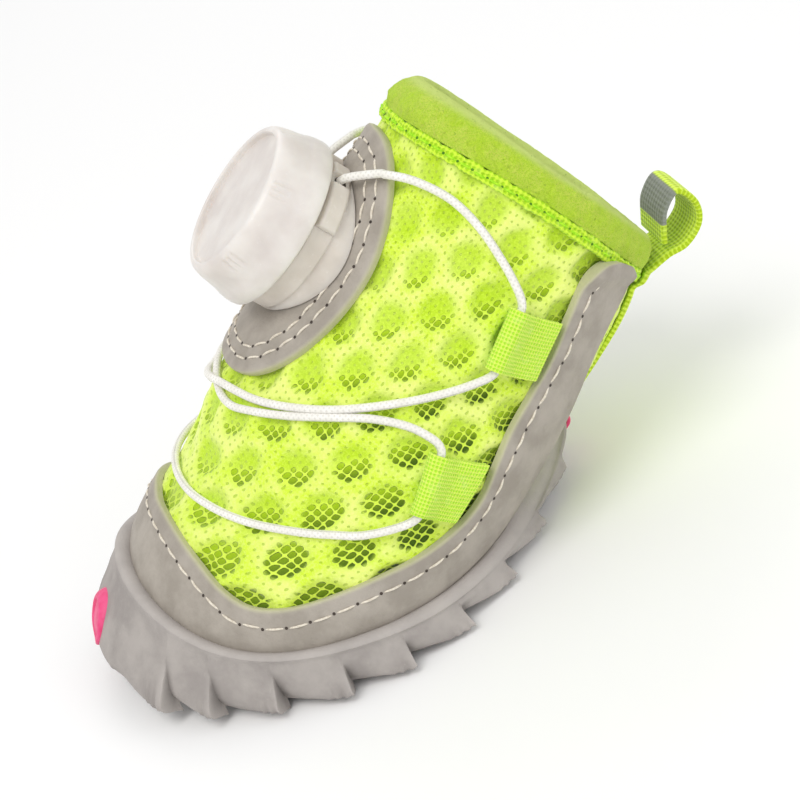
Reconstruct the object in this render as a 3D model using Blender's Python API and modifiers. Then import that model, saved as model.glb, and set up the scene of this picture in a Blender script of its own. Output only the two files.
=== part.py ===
"""Dog boot: a knitted mesh upper on a cupped rubber sole, closed by a lace dial on its front.

The toe points along -X, the heel along +X, and +Z is up. The boot is the same on both sides of
the plane y = 0. Sizes are in metres. Section tables hold shares of the named sizes above them.
A place on the last is a turn in degrees, 0 at the toe and 180 at the heel, with positive turns
on the -Y side, and a level, 0 at the seat in the sole and 1 at the top of the collar.
"""

import math

import bmesh
import bpy
from mathutils import Matrix, Vector

# Driving sizes of the last and the sole, and the place of the boot's middle on the sole's length
SOLE_LENGTH = 0.0860
BALL_WIDTH = 0.0700
INSTEP_HEIGHT = 0.0760
HEEL_HEIGHT = 0.0350
TOE_SPRING = 0.0030
HEEL_LIFT = 0.0025
MIDDLE_X = 0.01717

# Walls and clearances
GAP = 0.0003
SEAT_GAP = 0.0004
UPPER_WALL = 0.0022
RAND_WALL = 0.0010
RIM_WALL = 0.0022
CUP_STAND = SEAT_GAP + RAND_WALL + SEAT_GAP
SEAT_WALL = 0.0009
INSOLE_WALL = 0.0020
INSOLE_EASE = 0.01
INSOLE_CORNERS = (24.0, 150.0)
PATCH_WALL = 0.0012
TAPE_WALL = 0.0008
WEBBING_WALL = 0.0006

# Tread and side fins. TOE_ROLL and HEEL_ROLL are the shares of SOLE_LENGTH, from its middle,
# where the tread starts to rise, over ROLL_LENGTH.
TOE_ROLL = -0.26
HEEL_ROLL = 0.32
ROLL_LENGTH = 0.14
TREAD_RIDGES = 7
TREAD_END = 0.0200
LUG_DEPTH = 0.0022
LUG_RAMP = 0.62
STEP_LENGTH = 0.0004
FIN_DEPTH = 0.0030
FIN_REST = 0.4
WAVE_HEIGHT = 0.0052
WAVES_ACROSS = 2
WAVE_EASE = 0.018

# Collar and seam tape
COLLAR_FRONT = 0.042
COLLAR_REAR = 0.165
COLLAR_THICKNESS = 0.0048
COLLAR_STAND = 0.30
TAPE_WIDTH = 0.0016

# Lace dial. CAP_EDGE holds the cap's rim as shares of its radius and drops from its top.
CAP_RADIUS = 0.0147
CAP_HEIGHT = 0.0092
NECK_RADIUS = 0.0130
FOOT_RADIUS = 0.0144
BASE_HEIGHT = 0.0060
PORT_LENGTH = 0.0100
PORT_WIDTH = 0.0042
FACE_DEPTH = 0.0008
CAP_EDGE = ((0.72, FACE_DEPTH), (0.78, 0.0), (0.88, 0.0001), (0.96, 0.0011), (0.985, 0.0028))
CAP_FOOT = 0.0012
CAP_TOE = 0.97
DIAL_LEVEL = 0.785
PORT_ANGLE = 27.0
PORT_HEIGHT = 0.0039
CUT_LEVEL = 0.46

# Instep patch: its middle, half spans and the roundness and narrowing of its outline
PATCH_LEVEL = 0.768
PATCH_HALF_LEVEL = 0.165
PATCH_HALF_TURN = 42.0
PATCH_ROUNDNESS = 0.7
PATCH_NARROWING = 0.1

# Lace, webbing loops, heel band and pull tab
LACE_RADIUS = 0.0008
LOOP_DEPTH = 0.0096
LOOP_SEAT = GAP + WEBBING_WALL / 2.0
LOOP_BORE = LACE_RADIUS + GAP + WEBBING_WALL / 2.0
BAND_WALL = 0.0011
BAND_WIDTH = 0.0120
TAB_WIDTH = 0.0105
TAB_SEAT = 0.25
BAND_LEVELS = (0.22, 0.30, 0.39, 0.50, 0.61, 0.70)
BAND_EASE = 0.035

# Badges
TOE_BADGE = {"height": 0.0078, "width": 0.0066, "lift": 0.0006}
HEEL_BADGE = {"height": 0.0044, "width": 0.0054, "lift": 0.0002}
BADGE_REACH = 0.0088
BADGE_WALL = 0.0013
BADGE_ROW_INDEX = 2

# Columns around the boot, levels of the upper's rows as shares of its height, the level of the
# sole's rim, and the shares of the sole's half turns that its toe bumper and heel cup take
COLUMNS = 48
UPPER_ROWS = (0.0, 0.05, 0.11, 0.17, 0.23, 0.29, 0.36, 0.44, 0.53, 0.63, 0.74, 0.87, 1.0)
RIM_LEVEL = 0.12
TOE_REACH = 0.55
HEEL_REACH = 0.75

# Sections of the last. front_x and rear_x are shares of SOLE_LENGTH, front_z and sag of
# INSTEP_HEIGHT, rear_z of HEEL_HEIGHT and half_width of BALL_WIDTH. widest is where the width
# peaks between front and rear, front_full the roundness of the toe end, 2 for an ellipse, and
# taper the share by which the heel end narrows.
SECTION_COLUMNS = (
    "level", "front_x", "front_z", "rear_x", "rear_z", "half_width", "widest", "front_full", "taper", "sag"
)
SECTIONS = (
    (0.00, -0.385, 0.140, 0.445, 0.250, 0.440, 0.415, 2.20, 0.48, -0.054),
    (0.12, -0.375, 0.245, 0.480, 0.350, 0.472, 0.415, 2.20, 0.50, -0.100),
    (0.26, -0.315, 0.320, 0.553, 0.455, 0.458, 0.430, 2.20, 0.38, -0.068),
    (0.42, -0.203, 0.415, 0.625, 0.575, 0.425, 0.460, 2.15, 0.28, -0.030),
    (0.60, -0.045, 0.585, 0.690, 0.700, 0.372, 0.480, 2.05, 0.15, 0.000),
    (0.80, 0.215, 0.775, 0.745, 0.850, 0.315, 0.500, 2.00, 0.05, 0.018),
    (1.00, 0.490, 1.000, 0.795, 1.000, 0.252, 0.500, 2.00, 0.00, 0.018),
)

# Rows of the sole's wall below its rim: height as a share of the way up to the rim, how far the
# wall stands out from the rim at the toe, the side and the heel in metres, and the share of
# FIN_DEPTH by which the fins stand out.
SOLE_ROW_COLUMNS = ("share", "toe", "side", "heel", "fin")
SOLE_ROWS = (
    (0.00, 0.0074, -0.0008, -0.0050, 0.00),
    (0.20, 0.0092, 0.0010, -0.0024, 1.00),
    (0.45, 0.0070, 0.0008, -0.0002, 0.60),
    (0.72, 0.0034, 0.0002, 0.0008, 0.00),
    (0.93, 0.0006, -0.0002, 0.0008, 0.00),
)

# Edges of the rand, from the peak on the toe back along the side and up the strip at the heel:
# turn and level of its low edge, then turn and level of its high edge
RAND_EDGES = (
    (0.0, 0.05, 0.0, 0.318),
    (10.0, 0.05, 9.0, 0.320),
    (20.0, 0.05, 20.0, 0.310),
    (31.0, 0.05, 32.0, 0.280),
    (42.0, 0.05, 43.0, 0.242),
    (52.0, 0.05, 53.0, 0.216),
    (64.0, 0.05, 64.0, 0.214),
    (76.0, 0.05, 76.0, 0.228),
    (88.0, 0.05, 88.0, 0.248),
    (102.0, 0.05, 98.0, 0.272),
    (118.0, 0.05, 105.0, 0.305),
    (131.0, 0.08, 108.0, 0.350),
    (136.0, 0.20, 108.0, 0.420),
    (136.0, 0.34, 109.0, 0.490),
    (136.0, 0.46, 112.0, 0.560),
    (136.0, 0.58, 114.5, 0.640),
    (136.0, 0.70, 114.0, 0.745),
    (135.5, 0.79, 114.5, 0.825),
    (131.0, 0.835, 120.0, 0.858),
)

# Route of one half of the lace, from its dial port to the toe side of the instep: turn, level
# and height of its centre over the last. It passes the upper loop on its own side, crosses the
# instep and passes the lower loop on the other side. At the crossing the third value is the
# share of OVER_RISE by which the upper strand lifts off the other.
LACE_HEIGHT = 0.0013
OVER_RISE = 0.0019
LACE_START = (
    (26.0, 0.895, 0.0030),
    (40.0, 0.905, 0.0022),
    (56.0, 0.902, LACE_HEIGHT),
    (70.0, 0.880, LACE_HEIGHT),
    (82.0, 0.842, LACE_HEIGHT),
    (90.0, 0.802, 0.0017),
)
LACE_FRONT = (
    (90.0, 0.622, 0.0017),
    (82.0, 0.609, LACE_HEIGHT),
    (70.0, 0.600, LACE_HEIGHT),
    (56.0, 0.592, LACE_HEIGHT),
    (42.0, 0.588, LACE_HEIGHT),
    (28.0, 0.585, LACE_HEIGHT),
)
LACE_CROSSING = (
    (18.0, 0.584, 0.1),
    (9.0, 0.581, 0.6),
    (0.0, 0.573, 1.0),
    (-9.0, 0.565, 0.6),
    (-18.0, 0.562, 0.1),
)
LACE_BACK = (
    (-28.0, 0.562, LACE_HEIGHT),
    (-42.0, 0.566, LACE_HEIGHT),
    (-56.0, 0.570, LACE_HEIGHT),
    (-68.0, 0.570, LACE_HEIGHT),
    (-79.0, 0.557, LACE_HEIGHT),
    (-87.0, 0.530, 0.0017),
)
LACE_END = (
    (-86.5, 0.366, 0.0017),
    (-78.0, 0.366, LACE_HEIGHT),
    (-68.0, 0.380, LACE_HEIGHT),
    (-54.0, 0.393, LACE_HEIGHT),
    (-40.0, 0.398, LACE_HEIGHT),
    (-26.0, 0.400, LACE_HEIGHT),
    (-13.0, 0.400, LACE_HEIGHT),
    (0.0, 0.400, LACE_HEIGHT),
)

# Corners of the webbing loops: fold at the upper edge, fold at the lower edge, tail at the
# upper edge and tail at the lower edge, each as turn and level
LOOPS = {
    "upper": ((91.0, 0.770), (93.0, 0.655), (111.5, 0.731), (111.0, 0.600)),
    "lower": ((87.5, 0.507), (88.2, 0.392), (105.0, 0.436), (102.0, 0.324)),
}

# Pull tab: steps out and up from the webbing's seat on the collar, around the loop
TAB_LOOP = (
    (0.0045, 0.0006), (0.0092, 0.0020), (0.0117, 0.0056), (0.0106, 0.0101), (0.0074, 0.0115),
    (0.0045, 0.0092), (0.0036, 0.0062),
)


def section(level):
    """The section at one level, on a smooth curve through the table's rows."""
    last = len(SECTIONS) - 1
    low = 0
    while low < last - 1 and SECTIONS[low + 1][0] <= level:
        low += 1
    before, start, end, after = (SECTIONS[min(max(i, 0), last)] for i in range(low - 1, low + 3))
    span = end[0] - start[0]
    t = (level - start[0]) / span
    values = {}
    for k, name in enumerate(SECTION_COLUMNS):
        if t > 1.0 or t < 0.0:
            values[name] = start[k] + (end[k] - start[k]) * t
            continue
        slope_in = (end[k] - before[k]) / (end[0] - before[0])
        slope_out = (after[k] - start[k]) / (after[0] - start[0])
        ease = t * t * (3.0 - 2.0 * t)
        bend = t * (1.0 - t) ** 2 * slope_in - t * t * (1.0 - t) * slope_out
        values[name] = start[k] * (1.0 - ease) + end[k] * ease + span * bend
    return values


def outline(turn, front_x, rear_x, half_width, widest, front_full, taper):
    """Plan point of an egg-shaped outline, and its share of the way from front to rear."""
    cosine = math.cos(math.radians(turn))
    sine = math.sin(math.radians(turn))
    power = 2.0 / (front_full if cosine > 0 else 2.0)
    reach = widest if cosine > 0 else widest - 1.0
    along = widest - reach * abs(cosine) ** power
    y = -half_width * math.copysign(abs(sine) ** power, sine)
    if cosine < 0:
        y *= 1.0 - taper * cosine * cosine
    return front_x + (rear_x - front_x) * along - MIDDLE_X, y, along


def form_point(turn, level):
    """Point on the last's surface, which is the outside of the upper."""
    s = section(level)
    x, y, along = outline(
        turn, SOLE_LENGTH * s["front_x"], SOLE_LENGTH * s["rear_x"],
        BALL_WIDTH * s["half_width"], s["widest"], s["front_full"], s["taper"])
    front = INSTEP_HEIGHT * s["front_z"]
    rear = HEEL_HEIGHT * s["rear_z"]
    dip = INSTEP_HEIGHT * s["sag"] * (1.0 - math.cos(math.radians(turn)) ** 4)
    return Vector((x, y, front + (rear - front) * along + dip))


def form_normal(turn, level):
    """Outward direction at a place on the last."""
    around = form_point(turn + 0.5, level) - form_point(turn - 0.5, level)
    upward = form_point(turn, min(level + 0.01, 1.0)) - form_point(turn, max(level - 0.01, 0.0))
    return around.cross(upward).normalized()


def form(turn, level, height=0.0):
    """Point at a height over the last."""
    point = form_point(turn, level)
    if height:
        point += form_normal(turn, level) * height
    return point


def collar_low(turn):
    """Level of the collar's lower seam."""
    rearward = (1.0 - math.cos(math.radians(turn))) / 2.0
    return 1.0 - COLLAR_FRONT - (COLLAR_REAR - COLLAR_FRONT) * rearward ** 4


def level_length(turn, level):
    """Length on the last of one whole level, at a place."""
    step = 0.01
    return (form_point(turn, level) - form_point(turn, level - step)).length / step


def smooth_rows(rows, steps):
    """Rows on a smooth curve through the given rows."""
    result = []
    for i in range(len(rows) - 1):
        four = [rows[min(max(k, 0), len(rows) - 1)] for k in range(i - 1, i + 3)]
        for j in range(steps):
            t = j / steps
            result.append([
                0.5 * (2 * b + (c - a) * t + (2 * a - 5 * b + 4 * c - d) * t * t
                       + (3 * b - a - 3 * c + d) * t ** 3)
                for a, b, c, d in zip(*four)])
    result.append(list(rows[-1]))
    return result


# Scene and materials

def clear_scene():
    for item in list(bpy.data.objects):
        bpy.data.objects.remove(item, do_unlink=True)


def new_collection(name):
    collection = bpy.data.collections.new(name)
    bpy.context.scene.collection.children.link(collection)
    return collection


def new_material(name, colour, roughness):
    material = bpy.data.materials.new(name)
    material.use_nodes = True
    shader = material.node_tree.nodes["Principled BSDF"]
    shader.inputs["Base Color"].default_value = (*colour, 1.0)
    shader.inputs["Roughness"].default_value = roughness
    shader.inputs["Metallic"].default_value = 0.0
    return material


def add_object(name, bm, material, collection):
    """Object from a finished bmesh, with its faces turned out."""
    bmesh.ops.recalc_face_normals(bm, faces=bm.faces)
    if bm.calc_volume(signed=True) < 0:
        bmesh.ops.reverse_faces(bm, faces=bm.faces)
    mesh = bpy.data.meshes.new(name)
    bm.to_mesh(mesh)
    bm.free()
    item = bpy.data.objects.new(name, mesh)
    collection.objects.link(item)
    if material:
        mesh.materials.append(material)
        mesh.shade_smooth()
        mesh.set_sharp_from_angle(angle=math.radians(35.0))
    return item


def skin(bm, rows, closed_rows=False, closed_columns=False):
    """Quads between neighbouring rows of vertices."""
    row_count = len(rows) if closed_rows else len(rows) - 1
    for i in range(row_count):
        low, high = rows[i], rows[(i + 1) % len(rows)]
        column_count = len(low) if closed_columns else len(low) - 1
        for j in range(column_count):
            k = (j + 1) % len(low)
            bm.faces.new((low[j], low[k], high[k], high[j]))


def shell(bm, lower, upper, closed):
    """Closed body between two grids of points of the same size, closed around if asked."""
    low = [[bm.verts.new(p) for p in row] for row in lower]
    high = [[bm.verts.new(p) for p in row] for row in upper]
    skin(bm, low, closed_columns=closed)
    skin(bm, high, closed_columns=closed)
    skin(bm, [low[0], high[0]], closed_columns=closed)
    skin(bm, [low[-1], high[-1]], closed_columns=closed)
    if not closed:
        skin(bm, [[row[0] for row in low], [row[0] for row in high]])
        skin(bm, [[row[-1] for row in low], [row[-1] for row in high]])


def boolean(item, cutter, operation):
    """Boolean of an object with a cutter that stays in the cutters' collection."""
    modifier = item.modifiers.new("Boolean " + cutter.name, "BOOLEAN")
    modifier.operation = operation
    modifier.solver = "EXACT"
    modifier.object = cutter


def as_cutter(item):
    item.hide_render = True
    item.display_type = "WIRE"
    return item


# Outsole

def edge_turns():
    """Turns along one side of the sole's widest row, with the length of the edge up to each."""
    row = dict(zip(SOLE_ROW_COLUMNS, SOLE_ROWS[1]))
    lengths = [(0.0, 0.0)]
    before = wall_point(0.0, row)
    for turn in range(1, 181):
        point = wall_point(float(turn), row)
        lengths.append((lengths[-1][0] + (point - before).length, float(turn)))
        before = point
    return lengths


def turn_at(length, lengths):
    """Turn at a length along the sole's edge."""
    for (start, turn), (end, _) in zip(lengths, lengths[1:]):
        if end >= length:
            return turn + (length - start) / (end - start)
    return 180.0


def side_stations():
    """Places along the sole's edge where the tread turns: turn, lug share and fin share."""
    lengths = edge_turns()
    pitch = (lengths[-1][0] - 2.0 * TREAD_END) / TREAD_RIDGES
    stations = []
    for ridge in range(TREAD_RIDGES):
        start = TREAD_END + ridge * pitch
        stations.append((turn_at(start, lengths), 1.0, 0.0))
        stations.append((turn_at(start + LUG_RAMP * pitch, lengths), 0.0, 0.55))
        stations.append((turn_at(start + pitch - STEP_LENGTH, lengths), 0.0, 1.0))
    stations.append((turn_at(TREAD_END + TREAD_RIDGES * pitch, lengths), 1.0, 0.0))
    return stations


def sole_point(turn, row, fin, lug):
    """Point on a row of the sole's wall, with its fin and its lug."""
    rim = form(turn, RIM_LEVEL, CUP_STAND + RIM_WALL)
    out = form_normal(turn, RIM_LEVEL)
    out.z = 0.0
    out.normalize()
    cosine = math.cos(math.radians(turn))
    toe = max(0.0, (cosine - 1.0 + TOE_REACH) / TOE_REACH) ** 1.5
    heel = max(0.0, (-cosine - 1.0 + HEEL_REACH) / HEEL_REACH) ** 1.5
    stand = row["side"] + toe * (row["toe"] - row["side"]) + heel * (row["heel"] - row["side"])
    stand += FIN_DEPTH * row["fin"] * (fin - FIN_REST)
    base = toe * TOE_SPRING + heel * HEEL_LIFT
    height = base + (rim.z - base) * row["share"] + lug * LUG_DEPTH * (1.0 - row["share"])
    return Vector((rim.x + out.x * stand, rim.y + out.y * stand, height))


def wall_point(turn, row):
    """Point on a row of the sole's wall at its toe or heel, between the fins."""
    return sole_point(turn, row, 0.0, 1.0)


def patch_grid(bm, ring, across, along, shift=None):
    """Quads inside a ring of vertices laid out as a rectangle, blended from its four sides.

    The ring starts at the toe end of the -Y side, runs back along it, over the heel, forward
    along the +Y side and over the toe. shift moves an inner point by its row, its share across
    and the ends of its column.
    """
    near = ring[:along + 1]
    heel = ring[along:along + across + 1]
    far = ring[along + across:2 * along + across + 1][::-1]
    toe = ([ring[0]] + ring[:2 * along + across - 1:-1])[:across] + [far[0]]
    rows = [toe]
    for i in range(1, along):
        s = i / along
        row = [near[i]]
        for j in range(1, across):
            t = j / across
            point = (toe[j].co * (1 - s) + heel[j].co * s + near[i].co * (1 - t) + far[i].co * t
                     - toe[0].co * (1 - s) * (1 - t) - toe[-1].co * (1 - s) * t
                     - heel[0].co * s * (1 - t) - heel[-1].co * s * t)
            if shift:
                point = shift(point, i, t, toe[j].co.x, heel[j].co.x)
            row.append(bm.verts.new(point))
        row.append(far[i])
        rows.append(row)
    rows.append(heel)
    skin(bm, rows)


def sole_ring(across):
    """Turns, lug shares and fin shares around the sole, in the order of patch_grid's ring."""
    side = side_stations()
    first, last = side[0][0], side[-1][0]
    heel = [(last + (360.0 - 2.0 * last) * j / across, 1.0, 0.0) for j in range(1, across)]
    far = [(360.0 - turn, lug, fin) for turn, lug, fin in reversed(side)]
    toe = [(-first + 2.0 * first * j / across, 1.0, 0.0) for j in range(1, across)]
    return side + heel + far + toe, len(side) - 1


def make_outsole(material, collection):
    """Cup sole: wavy lugs, side fins, bumper, rim and floor in one solid."""
    across = 6 * WAVES_ACROSS
    ring, along = sole_ring(across)
    bm = bmesh.new()
    rows = []
    for values in SOLE_ROWS:
        row = dict(zip(SOLE_ROW_COLUMNS, values))
        rows.append([bm.verts.new(sole_point(turn, row, fin, lug)) for turn, lug, fin in ring])
    rows.append([bm.verts.new(form(turn, RIM_LEVEL, CUP_STAND + RIM_WALL)) for turn, _, _ in ring])
    for level in (RIM_LEVEL, 0.6 * RIM_LEVEL, 0.3 * RIM_LEVEL):
        rows.append([bm.verts.new(form(turn, level, CUP_STAND)) for turn, _, _ in ring])
    floor = []
    for turn, _, _ in ring:
        point = form(turn, 0.0, CUP_STAND)
        point.z -= SEAT_WALL
        floor.append(bm.verts.new(point))
    rows.append(floor)
    skin(bm, rows, closed_columns=True)
    stations = side_stations()

    def wave(point, i, t, front, rear):
        ends = min(1.0, min(point.x - front, rear - point.x) / WAVE_EASE)
        sides = 1.0 - abs(2.0 * t - 1.0) ** 6
        swing = math.cos(2.0 * math.pi * WAVES_ACROSS * (t - 0.5)) * sides * ends
        x = point.x - WAVE_HEIGHT * swing
        return Vector((x, point.y, tread_height(x, stations[i][1])))

    patch_grid(bm, rows[0], across, along, wave)
    patch_grid(bm, rows[-1], across, along)
    return add_object("outsole", bm, material, collection)


def tread_height(x, lug):
    """Height of the tread under the sole's middle: flat, rising at toe and heel."""
    along = (x + MIDDLE_X) / SOLE_LENGTH
    toe = max(0.0, (TOE_ROLL - along) / ROLL_LENGTH)
    heel = max(0.0, (along - HEEL_ROLL) / ROLL_LENGTH)
    return TOE_SPRING * toe ** 1.5 + HEEL_LIFT * heel ** 1.5 + lug * LUG_DEPTH


# Upper, rand and collar

def upper_top(turn):
    """Level of the upper's top edge, just under the collar."""
    low = collar_low(turn)
    return low - GAP / level_length(turn, low)


def make_upper(material, collection):
    """Hollow mesh shell, open at the collar and over the sole."""
    turns = [360.0 * j / COLUMNS for j in range(COLUMNS)]
    inner = []
    outer = []
    for share in UPPER_ROWS:
        levels = [upper_top(turn) * share for turn in turns]
        outer.append([form(turn, level) for turn, level in zip(turns, levels)])
        inner.append([form(turn, level, -UPPER_WALL) for turn, level in zip(turns, levels)])
    bm = bmesh.new()
    shell(bm, inner, outer, True)
    return add_object("upper", bm, material, collection)


def make_rand(material, collection):
    """Mudguard around the toe and sides, with a strip up each side of the heel."""
    half = smooth_rows(RAND_EDGES, 2)
    full = [[-a, b, -c, d] for a, b, c, d in reversed(half[1:])] + half
    steps = 5
    lower = []
    upper = []
    for low_turn, low_level, high_turn, high_level in full:
        shares = [j / steps for j in range(steps + 1)]
        places = [(low_turn + (high_turn - low_turn) * t, low_level + (high_level - low_level) * t)
                  for t in shares]
        lower.append([form(turn, level, SEAT_GAP) for turn, level in places])
        upper.append([form(turn, level, SEAT_GAP + RAND_WALL) for turn, level in places])
    bm = bmesh.new()
    shell(bm, lower, upper, False)
    return add_object("rand", bm, material, collection)


def make_collar(material, collection):
    """Padded roll on the upper's top edge, from a profile of level and height shares."""
    profile = (
        (0.00, 0.20), (0.30, COLLAR_STAND), (0.70, 0.25), (0.98, -0.02), (1.06, -0.32), (0.92, -0.60),
        (0.50, -0.70), (0.00, -0.58))
    turns = [360.0 * j / COLUMNS for j in range(COLUMNS)]
    bm = bmesh.new()
    rows = []
    for share, stand in profile:
        row = []
        for turn in turns:
            low = collar_low(turn)
            level = low + (1.0 - low) * share
            row.append(bm.verts.new(form(turn, level, COLLAR_THICKNESS * stand)))
        rows.append(row)
    skin(bm, rows, closed_rows=True, closed_columns=True)
    return add_object("collar", bm, material, collection)


def tape_level(turn, width):
    """Level of the upper's top edge less a width on the last."""
    top = upper_top(turn)
    return top - width / level_length(turn, top)


def make_seam_tape(material, collection):
    """Raised tape along the seam under the collar."""
    turns = [360.0 * j / COLUMNS for j in range(COLUMNS)]
    lower = []
    upper = []
    for width in (TAPE_WIDTH, 0.0):
        levels = [tape_level(turn, width) for turn in turns]
        lower.append([form(turn, level, GAP) for turn, level in zip(turns, levels)])
        upper.append([form(turn, level, GAP + TAPE_WALL) for turn, level in zip(turns, levels)])
    bm = bmesh.new()
    shell(bm, lower, upper, True)
    return add_object("seam_tape", bm, material, collection)


# Instep patch and lace dial

def make_patch(material, collection):
    """Leaf-shaped patch on the instep that carries the dial."""
    points = 32
    rings = (0.28, 0.54, 0.78, 1.0)
    bm = bmesh.new()
    layers = []
    for height in (SEAT_GAP, SEAT_GAP + PATCH_WALL):
        rows = []
        for share in rings:
            row = []
            for k in range(points):
                angle = 2.0 * math.pi * k / points
                climb = -math.cos(angle)
                narrow = 1.0 - PATCH_NARROWING * max(0.0, climb) ** 2
                side = math.copysign(abs(math.sin(angle)) ** PATCH_ROUNDNESS, math.sin(angle))
                turn = PATCH_HALF_TURN * side * narrow * share
                level = PATCH_LEVEL + PATCH_HALF_LEVEL * climb * share
                row.append(bm.verts.new(form(turn, level, height)))
            rows.append(row)
        middle = bm.verts.new(form(0.0, PATCH_LEVEL, height))
        for k in range(points):
            bm.faces.new((middle, rows[0][k], rows[0][(k + 1) % points]))
        skin(bm, rows, closed_columns=True)
        layers.append(rows[-1])
    skin(bm, layers, closed_columns=True)
    return add_object("instep_patch", bm, material, collection)


def dial_matrix():
    """Frame of the dial: x up the instep, y across, z out of the instep."""
    axis = form_normal(0.0, DIAL_LEVEL)
    across = Vector((0.0, 1.0, 0.0))
    climb = across.cross(axis)
    turn = Matrix((climb, across, axis)).transposed().to_4x4()
    return Matrix.Translation(form_point(0.0, DIAL_LEVEL)) @ turn


def turned(name, profile, steps, matrix, material, collection):
    """Solid of revolution from a profile of radius and height, top to bottom."""
    mesh = bpy.data.meshes.new(name)
    points = [(radius, 0.0, height) for radius, height in profile]
    mesh.from_pydata(points, [(i, i + 1) for i in range(len(points) - 1)], [])
    item = bpy.data.objects.new(name, mesh)
    collection.objects.link(item)
    item.matrix_world = matrix
    mesh.materials.append(material)
    screw = item.modifiers.new("Turn", "SCREW")
    screw.axis = "Z"
    screw.steps = steps
    screw.render_steps = steps
    screw.use_merge_vertices = True
    screw.merge_threshold = 0.00001
    screw.use_smooth_shade = False
    return item


def last_cutter(height, collection):
    """Closed body of the last's upper part, grown by a height."""
    turns = [360.0 * j / COLUMNS for j in range(COLUMNS)]
    bm = bmesh.new()
    rows = []
    for share in UPPER_ROWS:
        level = CUT_LEVEL + (1.0 - CUT_LEVEL) * share
        rows.append([bm.verts.new(form(turn, level, height)) for turn in turns])
    skin(bm, rows, closed_columns=True)
    bm.faces.new(rows[0])
    bm.faces.new(rows[-1])
    return as_cutter(add_object("last_cutter", bm, None, collection))


def port_matrix(side):
    """Frame of a lace port: z runs out of the dial's base towards the lace."""
    heading = math.radians(PORT_ANGLE) * side
    turn = Matrix.Rotation(heading, 4, "Z") @ Matrix.Rotation(math.radians(90.0), 4, "Y")
    return dial_matrix() @ Matrix.Translation((0.0, 0.0, PORT_HEIGHT)) @ turn


def make_dial(base_material, cap_material, collection, cutters):
    """Base with its two lace ports, seated on the patch, and the cap that turns on it."""
    matrix = dial_matrix()
    top = BASE_HEIGHT
    deep = -FOOT_RADIUS
    profile = (
        (0.0, top), (NECK_RADIUS - 0.0006, top), (NECK_RADIUS, top - 0.0006),
        (NECK_RADIUS, top - 0.0022), (FOOT_RADIUS, top - 0.0040), (FOOT_RADIUS, deep), (0.0, deep))
    base = turned("dial_base", profile, 32, matrix, base_material, collection)
    for side in (-1, 1):
        port = port_matrix(side)
        bm = bmesh.new()
        size = Matrix.Diagonal((PORT_WIDTH, PORT_LENGTH, NECK_RADIUS * 0.5, 1.0))
        bmesh.ops.create_cube(bm, size=1.0, matrix=size)
        bmesh.ops.bevel(bm, geom=bm.edges[:], offset=0.0008, segments=2, affect="EDGES")
        block = as_cutter(add_object("port_block", bm, None, cutters))
        block.matrix_world = port @ Matrix.Translation((0.0, 0.0, NECK_RADIUS * 0.84))
        boolean(base, block, "UNION")
    boolean(base, last_cutter(SEAT_GAP + PATCH_WALL + GAP, cutters), "DIFFERENCE")
    for side in (-1, 1):
        bm = bmesh.new()
        bmesh.ops.create_cone(
            bm, cap_ends=True, segments=16, radius1=LACE_RADIUS + GAP, radius2=LACE_RADIUS + GAP,
            depth=NECK_RADIUS * 0.5)
        hole = as_cutter(add_object("port_hole", bm, None, cutters))
        hole.matrix_world = port_matrix(side) @ Matrix.Translation((0.0, 0.0, NECK_RADIUS * 1.02))
        boolean(base, hole, "DIFFERENCE")
    foot = top + GAP
    head = foot + CAP_HEIGHT
    cap_profile = [(0.0, head - FACE_DEPTH)]
    cap_profile += [(CAP_RADIUS * share, head - drop) for share, drop in CAP_EDGE]
    cap_profile += [(CAP_RADIUS, foot + CAP_FOOT), (CAP_RADIUS * CAP_TOE, foot), (0.0, foot)]
    turned("dial_cap", cap_profile, 36, matrix, cap_material, collection)


# Lace and webbing

def lace_points():
    """Whole route of the lace, from its port on one side to its port on the other."""
    def port_points(side):
        port = port_matrix(side)
        return [port @ Vector((0.0, 0.0, NECK_RADIUS * share)) for share in (0.90, 1.10)]

    def side_points(side, rise):
        rows = list(LACE_START) + loop_passage(LOOPS["upper"], 1) + list(LACE_FRONT)
        rows += [(turn, level, LACE_HEIGHT + rise * share) for turn, level, share in LACE_CROSSING]
        rows += list(LACE_BACK) + loop_passage(LOOPS["lower"], -1) + list(LACE_END)
        return [form(side * turn, level, height) for turn, level, height in rows]

    first = side_points(1, OVER_RISE)
    second = side_points(-1, 0.0)
    return port_points(-1) + first + second[-2::-1] + port_points(1)[::-1]


def make_lace(material, collection):
    """One lace from port to port, through the four loops."""
    curve = bpy.data.curves.new("lace", "CURVE")
    curve.dimensions = "3D"
    spline = curve.splines.new("POLY")
    points = lace_points()
    spline.points.add(len(points) - 1)
    for slot, point in zip(spline.points, points):
        slot.co = (*point, 1.0)
    curve.bevel_depth = LACE_RADIUS
    curve.bevel_resolution = 1
    curve.use_fill_caps = True
    curve.materials.append(material)
    item = bpy.data.objects.new("lace", curve)
    collection.objects.link(item)
    return item


def ribbon(bm, path, wall, stations, place):
    """Webbing along a path of distance and height, swept over its stations of width."""
    lower = []
    upper = []
    for i, (along, height) in enumerate(path):
        before = path[max(i - 1, 0)]
        after = path[min(i + 1, len(path) - 1)]
        run = Vector((after[0] - before[0], after[1] - before[1])).normalized()
        side = Vector((-run.y, run.x)) * wall / 2.0
        lower.append([place(along - side.x, height - side.y, q) for q in stations])
        upper.append([place(along + side.x, height + side.y, q) for q in stations])
    shell(bm, lower, upper, False)


def loop_place(corners, along, across):
    """Turn and level inside a loop's four corners, from fold to tail and from high to low edge."""
    fold_high, fold_low, tail_high, tail_low = corners
    return [
        (a * (1.0 - across) + b * across) * (1.0 - along) + (c * (1.0 - across) + d * across) * along
        for a, b, c, d in zip(fold_high, fold_low, tail_high, tail_low)]


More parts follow.
